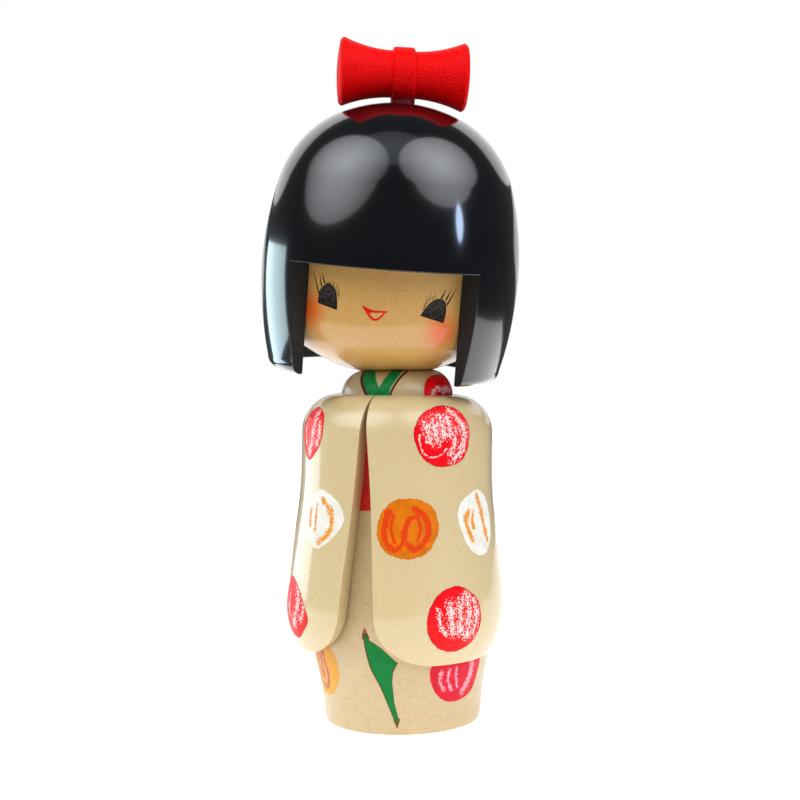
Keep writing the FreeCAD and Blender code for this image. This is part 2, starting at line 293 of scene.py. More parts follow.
def turned_sheet(profile: Points, columns: int, axis: Axis = Axis.UPRIGHT) -> Sheet:
    """A profile carried round a lathe's axis.

    Upright, the point at angle a is (radius * sin a, -radius * cos a, height). Crosswise, it is
    (distance along, radius * sin a, radius * cos a).

    Args:
        profile: (radius, height) for each row if upright, or (distance along, radius) if crosswise.
        columns: how many points go round.
        axis: the way that the axis lies.

    Returns:
        The closed sheet; rows at the axis fall on one point and are merged later.
    """
    angle = np.linspace(0, 2 * math.pi, columns, endpoint=False)[None]
    first, second = profile[:, :1], profile[:, 1:]
    if axis is Axis.UPRIGHT:
        parts = (first * np.sin(angle), -first * np.cos(angle), second + 0 * angle)
    else:
        parts = (first + 0 * angle, second * np.sin(angle), second * np.cos(angle))
    points = np.stack(parts, axis=-1).reshape(-1, 3)
    return Sheet(points, lattice(len(profile), columns).tolist())


@dataclass(frozen=True)
class Skin:
    """The outside of a turned piece, which paint is laid on in mm across and up from a chosen place."""

    profile: Points  # (radius, height) rows from low to high
    stance: Stance
    gauge: float  # the radius at which the distance across is a true length, mm
    measure: Measure = Measure.HEIGHT

    def lay(self, across: Points, up: Points, facing: float, height: float, lift: Points | float) -> Points:
        """Points on the skin, or just over it.

        The place is (radius * sin a, -radius * cos a, level), where a = facing + across / gauge, and
        radius and level are read from the profile. It is then moved by lift along the outward normal.

        Args:
            across: mm round the piece, positive to the right.
            up: mm up, by the skin's measure.
            facing: the bearing of the patch's zero, degrees from the front towards the right.
            height: the height of the patch's zero, mm.
            lift: mm out from the skin.

        Returns:
            The points on the doll, in mm.
        """
        step = np.diff(self.profile, axis=0)
        length = np.concatenate([[0.0], np.cumsum(np.hypot(step[:, 0], step[:, 1]))])
        rising = np.maximum.accumulate(self.profile[:, 1] + np.arange(len(length)) * 1e-9)
        if self.measure is Measure.LENGTH:
            travelled = np.interp(height, rising, length) + up
        else:
            travelled = np.interp(height + up, rising, length)
        radius = np.interp(travelled, length, self.profile[:, 0])
        level = np.interp(travelled, length, self.profile[:, 1])
        slope = np.gradient(self.profile, length, axis=0)
        out = np.interp(travelled, length, slope[:, 1])
        down = -np.interp(travelled, length, slope[:, 0])
        size = np.hypot(out, down)
        angle = math.radians(facing) + across / self.gauge
        reach = radius + lift * out / size
        return self.stance.place(np.stack(
            [reach * np.sin(angle), -reach * np.cos(angle), level + lift * down / size], axis=-1))


@dataclass(frozen=True)
class Stroke:
    """One pull of the brush inside a patch of paint."""

    line: Line
    half_width: float


PAINT_LIFT = 0.045  # thickness of a coat of paint, mm
PAINT_ROOT = -0.25  # how far a patch's hidden back lies inside the wood, mm
STROKE_POINTS = 40  # points that a brush stroke's line is worked out at
STROKE_SHIFT = 20.0  # how far each stroke's streaks are moved along, so that no two match, mm


@dataclass(frozen=True)
class Patch:
    """A patch of paint with a drawn edge, filled from its middle."""

    facing: float  # bearing of its middle, degrees
    height: float  # height of its middle, mm
    edge: Line  # mm across and up from the middle
    finish: int = 0
    strokes: tuple[Stroke, ...] = ()
    wobble: float = 0.0  # how ragged the edge is, mm
    middle: tuple[float, float] = (0.0, 0.0)

    def sheet(self, skin: Skin, rings: int = 44, spokes: int = 288) -> Sheet:
        """The patch as a thin closed lens: rings * (edge - middle) + middle, laid on the skin.

        The last ring dips under the skin, and a fan below it closes the back. Each point is marked
        with its distance in from the edge, and with how deep it lies in a stroke (1 on the stroke's
        line and 0 at its side) with the distances along and off that line.

        Args:
            skin: the piece that it is painted on.
            rings: how many rings run from the middle to the edge.
            spokes: how many points go round.

        Returns:
            The closed patch.
        """
        edge = flowing(self.edge, True, spokes)
        centre = np.array(self.middle)
        arm = edge - centre
        reach = np.hypot(arm[:, 0], arm[:, 1])
        angle = np.linspace(0, 2 * math.pi, spokes, endpoint=False)
        ragged = (np.sin(9 * angle + self.facing) + np.sin(17 * angle + self.height)
                  + np.sin(31 * angle) + 0.6 * np.sin(53 * angle + 2.0)) / 3.6
        arm = arm * (1 + self.wobble * ragged / reach)[:, None]
        share = np.concatenate([np.linspace(0, 1, rings), [1.0, 0.0]])
        flat = (centre + share[:, None, None] * arm).reshape(-1, 2)
        lift = np.repeat(np.concatenate([np.full(rings, PAINT_LIFT), [-PAINT_LIFT, PAINT_ROOT]]), spokes)
        points = skin.lay(flat[:, 0], flat[:, 1], self.facing, self.height, lift)
        marks = self.brushed(flat)
        marks["rim"] = ((1 - share[:, None]) * reach).reshape(-1)
        faces = lattice(rings + 2, spokes).tolist()
        return Sheet(points, faces, [self.finish] * len(faces), marks)

    def brushed(self, flat: Points) -> dict[str, Points]:
        """The strokes' marks at points of the patch.

        Args:
            flat: mm across and up from the patch's middle.

        Returns:
            For each point the depth in a stroke, and the distances along and off its line.
        """
        depth = np.zeros(len(flat))
        along = flat[:, 1].copy()
        off = flat[:, 0].copy()
        for number, stroke in enumerate(self.strokes):
            gap, travelled = follow(flat, flowing(stroke.line, False, STROKE_POINTS))
            deep = np.clip(1 - gap / stroke.half_width, 0, 1)
            better = deep > depth
            depth = np.where(better, deep, depth)
            along = np.where(better, travelled + STROKE_SHIFT * number, along)
            off = np.where(better, gap, off)
        return {"stroke": depth, "along": along, "off": off}


@dataclass(frozen=True)
class Ribbon:
    """A line of paint along a path, tapering as the brush lifts."""

    facing: float
    height: float
    line: Line
    half_width: float
    end_width: float = 0.0
    start_width: float | None = None
    least_width: float = 0.01

    def sheet(self, skin: Skin, rows: int = 48) -> Sheet:
        """The line as a thin closed strip: centre + side * width(t), laid on the skin.

        The strip's cross-section is a low arch of seven points closed by two under the skin.

        Args:
            skin: the piece that it is painted on.
            rows: how many cross-sections it has.

        Returns:
            The closed strip.
        """
        centre = flowing(self.line, False, rows)
        along = np.gradient(centre, axis=0)
        along /= np.maximum(np.hypot(along[:, 0], along[:, 1]), 1e-9)[:, None]
        side = np.stack([along[:, 1], -along[:, 0]], axis=1)
        t = np.linspace(0, 1, rows)
        first = self.half_width if self.start_width is None else self.start_width
        width = np.interp(t, [0, 0.3, 1], [first, self.half_width, self.end_width])
        width = np.maximum(width * np.sqrt(np.clip(t * 30, 0, 1)), self.least_width)
        reach = np.array([-1, -0.7, -0.35, 0, 0.35, 0.7, 1, 0.8, -0.8])
        lift = np.array([-0.3, 0.9, 1, 1, 1, 0.9, -0.3, -2, -2]) * PAINT_LIFT
        flat = (centre[:, None] + side[:, None] * (width[:, None] * reach)[:, :, None]).reshape(-1, 2)
        points = skin.lay(flat[:, 0], flat[:, 1], self.facing, self.height, np.tile(lift, rows))
        faces = tube(rows, len(reach))
        marks = {"rim": np.repeat(width, len(reach)) * np.tile(1 - np.abs(reach), rows)}
        return Sheet(points, faces, marks=marks)


@dataclass(frozen=True)
class Gore:
    """A patch of paint between a left and a right edge that run up the piece."""

    facing: float
    left: Line  # (up, across) from low to high
    right: Line
    height: float = 0.0
    rows: int = 200
    columns: int = 40
    least_width: float = 0.02

    def sheet(self, skin: Skin) -> Sheet:
        """The patch as a thin closed slab: across = left + share * (right - left) at each height.

        Args:
            skin: the piece that it is painted on.

        Returns:
            The closed patch.
        """
        left, right = np.array(self.left), np.array(self.right)
        up = np.linspace(max(left[0, 0], right[0, 0]), min(left[-1, 0], right[-1, 0]), self.rows)
        low = np.interp(up, left[:, 0], left[:, 1])
        high = np.interp(up, right[:, 0], right[:, 1])
        high = np.maximum(high, low + self.least_width)
        share = np.concatenate([[0.0], np.linspace(0, 1, self.columns), [1.0, 1.0, 0.0]])
        lift = np.full(len(share), PAINT_LIFT)
        lift[[0, self.columns + 1]] = -PAINT_LIFT
        lift[-2:] = PAINT_ROOT
        across = low[:, None] + (high - low)[:, None] * share
        points = skin.lay(across.reshape(-1), np.repeat(up, len(share)), self.facing, self.height,
                          np.tile(lift, self.rows))
        faces = tube(self.rows, len(share))
        side = np.minimum(share, 1 - share) * (high - low)[:, None]
        return Sheet(points, faces, marks={"rim": side.reshape(-1)})


# ---------------------------------------------------------------- finishes


def linear(colour: str) -> tuple[float, float, float, float]:
    """An sRGB hex colour as the linear colour that shaders work in.

    Each part is value / 12.92 up to 0.04045, and ((value + 0.055) / 1.055) ^ 2.4 above it.

    Args:
        colour: the colour, such as "#E80000".

    Returns:
        Linear red, green and blue, and an alpha of 1.
    """
    parts = [int(colour[place:place + 2], 16) / 255 for place in (1, 3, 5)]
    red, green, blue = (p / 12.92 if p <= 0.04045 else ((p + 0.055) / 1.055) ** 2.4 for p in parts)
    return red, green, blue, 1.0


MIX_AMOUNT, MIX_FIRST, MIX_SECOND, MIXED = 0, 6, 7, 2  # a Mix node's sockets when it mixes colours


def add_node(tree: bpy.types.NodeTree, kind: str, links: dict | None = None,
             **settings: object) -> bpy.types.Node:
    """Adds one node.

    Args:
        tree: the node tree.
        kind: the node's type name.
        links: for each input, by name or number, the socket that feeds it or its plain value.
        settings: the node's own settings.

    Returns:
        The node.
    """
    node = tree.nodes.new(kind)
    for name, value in settings.items():
        setattr(node, name, value)
    for name, value in (links or {}).items():
        if isinstance(value, bpy.types.NodeSocket):
            tree.links.new(value, node.inputs[name])
        else:
            node.inputs[name].default_value = value
    return node


def start_material(name: str) -> tuple[bpy.types.Material, bpy.types.NodeTree]:
    """An empty material of that name, and its node tree."""
    material = bpy.data.materials.new(name)
    material.use_nodes = True
    material.node_tree.nodes.clear()
    return material, material.node_tree


def close_material(tree: bpy.types.NodeTree, links: dict) -> None:
    """Ends a node tree in one Principled shader with those inputs."""
    shader = add_node(tree, "ShaderNodeBsdfPrincipled", links)
    add_node(tree, "ShaderNodeOutputMaterial", {"Surface": shader.outputs[0]})


def per_mm(size: float) -> float:
    """A texture scale that gives features of that many mm on coordinates in metres."""
    return 1 / (size * MM)


@dataclass(frozen=True)
class Blush:
    """A puff of sprayed colour on a cheek."""

    centre: tuple[float, float, float]  # mm
    radius: float  # mm


@dataclass(frozen=True)
class VarnishedWood:
    """Dogwood, turned on a lathe, sanded and varnished.

    It gives the eye a pale, even grain with faint rings under a clear coat. The flecks are drawn coarser
    than real pores, so that they show.
    """

    name: str
    pale: str
    deep: str
    grain: float = 0.7  # width of the grain, mm
    grain_length: float = 4.5
    cloud: float = 26.0  # size of the slow changes of tone, mm
    ring: float = 0.42  # spacing of the lathe's rings, mm
    ring_length: float = 3.2  # how far a ring runs before it fades, mm
    ring_depth: float = 0.25
    ring_height: float = 0.05  # mm
    ring_colour: str = "#A8763C"
    fleck: float = 0.3  # strength of the fine flecks
    fleck_size: float = 0.34  # mm
    fleck_colour: str = "#8A5E2C"
    roughness: float = 0.42
    coat: float = 0.55
    coat_roughness: float = 0.16
    band: tuple[float, float] | None = None  # lowest and highest level of a painted band, mm
    band_colour: str = "#E80000"
    band_shade: str = "#A80008"
    band_edge: float = 0.06  # how soft the band's edge is, mm
    blushes: tuple[Blush, ...] = ()
    blush_colour: str = "#E05E10"

    def material(self) -> bpy.types.Material:
        """Builds the material on Object coordinates.

        Returns:
            The material.
        """
        material, tree = start_material(self.name)
        place = add_node(tree, "ShaderNodeTexCoord").outputs["Object"]
        fibre = add_node(tree, "ShaderNodeMapping", {
            "Vector": place,
            "Scale": (per_mm(self.grain), per_mm(self.grain), per_mm(self.grain_length))})
        grain = add_node(tree, "ShaderNodeTexNoise", {
            "Vector": fibre.outputs[0], "Scale": 1.0, "Detail": 4.0, "Roughness": 0.62, "Distortion": 0.3})
        cloud = add_node(tree, "ShaderNodeTexNoise", {
            "Vector": place, "Scale": per_mm(self.cloud), "Detail": 2.0})
        turning = add_node(tree, "ShaderNodeMapping", {
            "Vector": place,
            "Scale": (per_mm(self.ring_length), per_mm(self.ring_length), per_mm(self.ring))})
        rings = add_node(tree, "ShaderNodeTexNoise", {
            "Vector": turning.outputs[0], "Scale": 1.0, "Detail": 3.0, "Distortion": 0.6})
        flecks = add_node(tree, "ShaderNodeTexNoise", {
            "Vector": place, "Scale": per_mm(self.fleck_size), "Detail": 3.0})
        grained = add_node(tree, "ShaderNodeMapRange", {
            "Value": grain.outputs[0], "From Min": 0.32, "From Max": 0.78, "To Max": 0.32})
        tone = add_node(tree, "ShaderNodeMath", {
            0: cloud.outputs[0], 1: 0.55, 2: grained.outputs[0]}, operation="MULTIPLY_ADD")
        colour = add_node(tree, "ShaderNodeMix", {
            MIX_AMOUNT: tone.outputs[0], MIX_FIRST: linear(self.pale), MIX_SECOND: linear(self.deep)},
            data_type="RGBA").outputs[MIXED]
        ringed = add_node(tree, "ShaderNodeMapRange", {
            "Value": rings.outputs[0], "From Min": 0.52, "From Max": 0.74, "To Max": self.ring_depth})
        colour = add_node(tree, "ShaderNodeMix", {
            MIX_AMOUNT: ringed.outputs[0], MIX_FIRST: colour, MIX_SECOND: linear(self.ring_colour)},
            data_type="RGBA").outputs[MIXED]
        flecked = add_node(tree, "ShaderNodeMapRange", {
            "Value": flecks.outputs[0], "From Min": 0.55, "From Max": 0.8, "To Max": self.fleck})
        colour = add_node(tree, "ShaderNodeMix", {
            MIX_AMOUNT: flecked.outputs[0], MIX_FIRST: colour, MIX_SECOND: linear(self.fleck_colour)},
            data_type="RGBA").outputs[MIXED]
        for blush in self.blushes:
            colour = self.add_blush(tree, place, colour, blush, flecks)
        if self.band:
            colour = self.add_band(tree, place, colour, grain)
        bump = add_node(tree, "ShaderNodeBump", {
            "Height": rings.outputs[0], "Strength": 0.22, "Distance": self.ring_height * MM})
        close_material(tree, {
            "Base Color": colour, "Roughness": self.roughness, "IOR": 1.5, "Coat Weight": self.coat,
            "Coat Roughness": self.coat_roughness, "Normal": bump.outputs[0]})
        return material

    def add_blush(self, tree: bpy.types.NodeTree, place: bpy.types.NodeSocket, under: bpy.types.NodeSocket,
                  blush: Blush, flecks: bpy.types.Node) -> bpy.types.NodeSocket:
        """Sprays a cheek: strongest in the middle, and broken into specks as it fades.

        Args:
            tree: the material's nodes.
            place: the Object coordinates.
            under: the colour that it is sprayed on.
            blush: where it goes.
            flecks: the pattern that breaks it up.

        Returns:
            The new colour.
        """
        centre = tuple(part * MM for part in blush.centre)
        away = add_node(tree, "ShaderNodeVectorMath", {0: place, 1: centre}, operation="DISTANCE")
        soft = add_node(tree, "ShaderNodeMapRange", {
            "Value": away.outputs["Value"], "From Min": 0.0, "From Max": blush.radius * MM,
            "To Min": 1.15, "To Max": 0.0}, interpolation_type="SMOOTHSTEP")
        speck = add_node(tree, "ShaderNodeMapRange", {
            "Value": flecks.outputs[0], "From Min": 0.3, "From Max": 0.7, "To Min": 0.72, "To Max": 1.0})
        amount = add_node(tree, "ShaderNodeMath", {
            0: soft.outputs[0], 1: speck.outputs[0]}, operation="MULTIPLY", use_clamp=True)
        return add_node(tree, "ShaderNodeMix", {
            MIX_AMOUNT: amount.outputs[0], MIX_FIRST: under, MIX_SECOND: linear(self.blush_colour)},
            data_type="RGBA").outputs[MIXED]

    def add_band(self, tree: bpy.types.NodeTree, place: bpy.types.NodeSocket, under: bpy.types.NodeSocket,
                 grain: bpy.types.Node) -> bpy.types.NodeSocket:
        """Paints the sash: a band between two levels, with a crisp edge where the tool scored the wood.

        Args:
            tree: the material's nodes.
            place: the Object coordinates.
            under: the colour of the wood.
            grain: the grain that shows through the paint.

        Returns:
            The new colour.
        """
        level = add_node(tree, "ShaderNodeSeparateXYZ", {0: place}).outputs["Z"]
        edge = self.band_edge * MM
        over = add_node(tree, "ShaderNodeMapRange", {
            "Value": level, "From Min": self.band[0] * MM - edge, "From Max": self.band[0] * MM + edge})
        beneath = add_node(tree, "ShaderNodeMapRange", {
            "Value": level, "From Min": self.band[1] * MM + edge, "From Max": self.band[1] * MM - edge})
        inside = add_node(tree, "ShaderNodeMath", {
            0: over.outputs[0], 1: beneath.outputs[0]}, operation="MULTIPLY")
        sash = add_node(tree, "ShaderNodeMix", {
            MIX_AMOUNT: grain.outputs[0], MIX_FIRST: linear(self.band_colour),
            MIX_SECOND: linear(self.band_shade)},
            data_type="RGBA").outputs[MIXED]
        return add_node(tree, "ShaderNodeMix", {
            MIX_AMOUNT: inside.outputs[0], MIX_FIRST: under, MIX_SECOND: sash},
            data_type="RGBA").outputs[MIXED]


@dataclass(frozen=True)
class Lacquer:
    """Lacquer sprayed on turned wood: deep colour under a clear coat, with faint rings and orange peel."""

    name: str
    colour: str
    worn: str
    roughness: float
    coat: float
    coat_roughness: float
    ring: float = 0.6  # mm
    ring_length: float = 30.0  # mm
    ring_bump: float = 0.02
    relief: float = 0.3  # height of a full bump, mm
    specular: float = 0.5
    peel: float = 0.5  # size of the orange peel, mm
    peel_bump: float = 0.02
    worn_share: float = 0.25

    def material(self) -> bpy.types.Material:
        """Builds the material on Object coordinates.

        Returns:
            The material.
        """
        material, tree = start_material(self.name)
        place = add_node(tree, "ShaderNodeTexCoord").outputs["Object"]
        turning = add_node(tree, "ShaderNodeMapping", {
            "Vector": place,
            "Scale": (per_mm(self.ring_length), per_mm(self.ring_length), per_mm(self.ring))})
        rings = add_node(tree, "ShaderNodeTexNoise", {
            "Vector": turning.outputs[0], "Scale": 1.0, "Detail": 2.0})
        peel = add_node(tree, "ShaderNodeTexNoise", {
            "Vector": place, "Scale": per_mm(self.peel), "Detail": 2.0})
        amount = add_node(tree, "ShaderNodeMapRange", {
            "Value": peel.outputs[0], "From Min": 0.35, "From Max": 0.75, "To Max": self.worn_share})
        colour = add_node(tree, "ShaderNodeMix", {
            MIX_AMOUNT: amount.outputs[0], MIX_FIRST: linear(self.colour), MIX_SECOND: linear(self.worn)},
            data_type="RGBA").outputs[MIXED]
        ringed = add_node(tree, "ShaderNodeBump", {
            "Height": rings.outputs[0], "Strength": self.ring_bump, "Distance": self.relief * MM})
        peeled = add_node(tree, "ShaderNodeBump", {
            "Height": peel.outputs[0], "Strength": self.peel_bump, "Distance": self.relief * MM,
            "Normal": ringed.outputs[0]})
        close_material(tree, {
            "Base Color": colour, "Roughness": self.roughness, "IOR": 1.5, "Coat Weight": self.coat,
            "Coat Roughness": self.coat_roughness, "Coat IOR": 1.55, "Specular IOR Level": self.specular,
            "Normal": peeled.outputs[0]})
        return material


@dataclass(frozen=True)
class SawnPaint:
    """Black stain on sawn wood: matt, open and a little grey, so the cut faces look dry by the lacquer."""

    name: str
    colour: str
    raised: str
    grain: float = 0.35  # mm
    grain_length: float = 1.6
    grain_height: float = 0.15

    def material(self) -> bpy.types.Material:
        """Builds the material on Object coordinates, with the saw's grain running up the cut.

        Returns:
            The material.
        """
        material, tree = start_material(self.name)
        place = add_node(tree, "ShaderNodeTexCoord").outputs["Object"]
        fibre = add_node(tree, "ShaderNodeMapping", {
            "Vector": place,
            "Scale": (per_mm(self.grain), per_mm(self.grain), per_mm(self.grain_length))})
        grain = add_node(tree, "ShaderNodeTexNoise", {
            "Vector": fibre.outputs[0], "Scale": 1.0, "Detail": 5.0, "Roughness": 0.7})
        raised = add_node(tree, "ShaderNodeMapRange", {
            "Value": grain.outputs[0], "From Min": 0.48, "From Max": 0.8})
        colour = add_node(tree, "ShaderNodeMix", {
            MIX_AMOUNT: raised.outputs[0], MIX_FIRST: linear(self.colour), MIX_SECOND: linear(self.raised)},
            data_type="RGBA").outputs[MIXED]
        bump = add_node(tree, "ShaderNodeBump", {
            "Height": grain.outputs[0], "Strength": 0.6, "Distance": self.grain_height * MM})
        close_material(tree, {
            "Base Color": colour, "Roughness": 0.6, "IOR": 1.45, "Normal": bump.outputs[0]})
        return material


@dataclass(frozen=True)
class BrushedPaint:
    """Poster paint laid on with a round brush and varnished.

    It gives the eye a solid ground with dry, streaky strokes over it, which the wood's tooth breaks into
    specks. The tooth is drawn coarser than it is, so that it shows.
    """

    name: str
    ground: str
    shade: str
    stroke: str
    cover: float = 0.5  # how much of a stroke the bristles cover
    streak: float = 0.28  # width of a bristle's streak, mm
    streak_length: float = 2.6
    tooth: float = 0.42  # size of the wood's tooth, mm
    grit: float = 1.6  # how much the tooth breaks a stroke up
    depth: float = 0.5  # how much more paint lies on a stroke's line than at its side
    pool: float = 3.0  # size of the pools of thicker paint, mm
    rim: str | None = None
    rim_width: float = 0.0
    roughness: float = 0.42
    relief: float = 0.06  # mm

    def material(self) -> bpy.types.Material:
        """Builds the material on the patch's own marks, so streaks run along each stroke.

        Paint covers where depth * mark + bristle + grit * tooth passes a limit, and each of the two noises
        is a half on average.

        Returns:
            The material.
        """
        material, tree = start_material(self.name)
        place = add_node(tree, "ShaderNodeTexCoord").outputs["Object"]
        depth, along, off, rim = (
            add_node(tree, "ShaderNodeAttribute", attribute_name=mark).outputs["Fac"]
            for mark in ("stroke", "along", "off", "rim"))
        path = add_node(tree, "ShaderNodeCombineXYZ", {"X": along, "Y": off})
        pulled = add_node(tree, "ShaderNodeMapping", {
            "Vector": path.outputs[0], "Scale": (1 / self.streak_length, 1 / self.streak, 1.0)})
        bristle = add_node(tree, "ShaderNodeTexNoise", {
            "Vector": pulled.outputs[0], "Scale": 1.0, "Detail": 3.0, "Roughness": 0.6})
        tooth = add_node(tree, "ShaderNodeTexNoise", {
            "Vector": place, "Scale": per_mm(self.tooth), "Detail": 2.0})
        pool = add_node(tree, "ShaderNodeTexNoise", {
            "Vector": place, "Scale": per_mm(self.pool), "Detail": 3.0})
        pooled = add_node(tree, "ShaderNodeMapRange", {
            "Value": pool.outputs[0], "From Min": 0.35, "From Max": 0.7})
        colour = add_node(tree, "ShaderNodeMix", {
            MIX_AMOUNT: pooled.outputs[0], MIX_FIRST: linear(self.ground), MIX_SECOND: linear(self.shade)},
            data_type="RGBA").outputs[MIXED]
        rough = add_node(tree, "ShaderNodeMath", {
            0: tooth.outputs[0], 1: self.grit, 2: bristle.outputs[0]}, operation="MULTIPLY_ADD")
        level = add_node(tree, "ShaderNodeMath", {
            0: depth, 1: self.depth, 2: rough.outputs[0]}, operation="MULTIPLY_ADD")
        least = 0.5 * (1 + self.grit) + self.depth * (1 - self.cover)
        covered = add_node(tree, "ShaderNodeMapRange", {
            "Value": level.outputs[0], "From Min": least, "From Max": least + 0.06})
        touched = add_node(tree, "ShaderNodeMapRange", {
            "Value": depth, "From Min": 0.0, "From Max": 0.12})
        amount = add_node(tree, "ShaderNodeMath", {
            0: covered.outputs[0], 1: touched.outputs[0]}, operation="MULTIPLY")
        colour = add_node(tree, "ShaderNodeMix", {
            MIX_AMOUNT: amount.outputs[0], MIX_FIRST: colour, MIX_SECOND: linear(self.stroke)},
            data_type="RGBA").outputs[MIXED]
        if self.rim:
            lined = add_node(tree, "ShaderNodeMapRange", {
                "Value": rim, "From Min": self.rim_width, "From Max": self.rim_width * 0.55})
            colour = add_node(tree, "ShaderNodeMix", {
                MIX_AMOUNT: lined.outputs[0], MIX_FIRST: colour, MIX_SECOND: linear(self.rim)},
                data_type="RGBA").outputs[MIXED]
        bump = add_node(tree, "ShaderNodeBump", {
            "Height": rough.outputs[0], "Strength": 0.25, "Distance": self.relief * MM})
        close_material(tree, {
            "Base Color": colour, "Roughness": self.roughness, "IOR": 1.45, "Specular IOR Level": 0.14,
            "Coat Weight": 0.1, "Coat Roughness": 0.12, "Normal": bump.outputs[0]})
        return material


@dataclass(frozen=True)
class PaleCard:
    """Matt white paper sweep: it glows a little, as it does when it is lit from all sides."""

    name: str = "matt white paper sweep"
    colour: str = "#F6F5F3"
    glow: float = 0.62
    tooth: float = 0.8  # mm
    tooth_height: float = 0.1

    def material(self) -> bpy.types.Material:
        """Builds the material, with a faint paper tooth.

        Returns:
            The material.
        """
        material, tree = start_material(self.name)
        place = add_node(tree, "ShaderNodeTexCoord").outputs["Object"]
        tooth = add_node(tree, "ShaderNodeTexNoise", {
            "Vector": place, "Scale": per_mm(self.tooth), "Detail": 2.0})
        bump = add_node(tree, "ShaderNodeBump", {
            "Height": tooth.outputs[0], "Strength": 0.05, "Distance": self.tooth_height * MM})
        close_material(tree, {
            "Base Color": linear(self.colour), "Roughness": 0.8, "Emission Color": linear(self.colour),
            "Emission Strength": self.glow, "Normal": bump.outputs[0]})
        return material


# ---------------------------------------------------------------- pieces


SAME_POINT = 0.0005  # points closer than this are one, mm
CREASE = 35.0  # edges of an uneased piece that are sharper than this stay crisp, degrees


@dataclass(frozen=True)
class Edge:
    """How the edges of a piece are eased."""

    width: float  # mm
    angle: float = 40.0  # edges sharper than this are eased, degrees
    segments: int = 3


def make_piece(name: str, sheet: Sheet, finishes: list[bpy.types.Material], body: Body,
               replaces: str | None = None, edge: Edge | None = None) -> bpy.types.Object:
    """Makes one finished piece of the doll from a sheet.

    Rows that fall on one point are merged, every shell is turned to face out, and edges sharper than
    the limit stay crisp.

    Args:
        name: the piece's name.
        sheet: its mesh, in mm on the doll.
        finishes: its materials, in the order that the sheet numbers them.
        body: the body it moves with.
        replaces: the CAD node that it stands for.
        edge: how its edges are eased.

    Returns:
        The object, at the origin.
    """
    mesh = bpy.data.meshes.new(name)
    mesh.from_pydata((sheet.points * MM).tolist(), [], sheet.faces)
    mesh.polygons.foreach_set("material_index", np.array(sheet.finish, dtype=np.int32))
    for mark, values in sheet.marks.items():
        mesh.attributes.new(mark, "FLOAT", "POINT").data.foreach_set("value", values.astype(np.float32))
    work = bmesh.new()
    work.from_mesh(mesh)
    bmesh.ops.remove_doubles(work, verts=work.verts, dist=SAME_POINT * MM)
    bmesh.ops.recalc_face_normals(work, faces=work.faces)
    work.to_mesh(mesh)
    work.free()
    mesh.shade_smooth()
    for finish in finishes:
        mesh.materials.append(finish)
    piece = bpy.data.objects.new(name, mesh)
    bpy.context.scene.collection.objects.link(piece)
    if edge:
        bevel = piece.modifiers.new("eased edges", "BEVEL")
        bevel.width = edge.width * MM
        bevel.segments = edge.segments
        bevel.limit_method = "ANGLE"
        bevel.angle_limit = math.radians(edge.angle)
        bevel.harden_normals = True
        bevel.use_clamp_overlap = True
    else:
        mesh.set_sharp_from_angle(angle=math.radians(CREASE))
    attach(piece, body.value)
    if replaces:
        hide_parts(replaces)
    log.info("%s: %d faces, on %s", name, len(mesh.polygons), body.value)
    return piece


RED_DOT, ORANGE_DOT, WHITE_DOT = range(3)  # the order of the dots' finishes on a piece
CRIMSON_DOT, OCHRE_DOT = range(2)  # the order of the skirt dots' finishes


def dot_finishes() -> list[bpy.types.Material]:
    """The three poster paints that the kimono's dots are brushed in.

    Returns:
        The scarlet, orange and white paints, in the order of their numbers.
    """
    return [
        BrushedPaint("scarlet poster paint", "#F00008", "#D80016", "#F4CCC8", cover=0.3, streak=0.22,
                     rim="#B40016", rim_width=0.26).material(),
        BrushedPaint("orange poster paint", "#D87208", "#C06204", "#D43C08", cover=0.72, streak=0.4, grit=0.5,
                     rim="#C26404", rim_width=0.2).material(),
        BrushedPaint("white poster paint", "#E8E4DA", "#DCD6C8", "#DE8E22", grit=0.6, cover=0.42).material(),
    ]


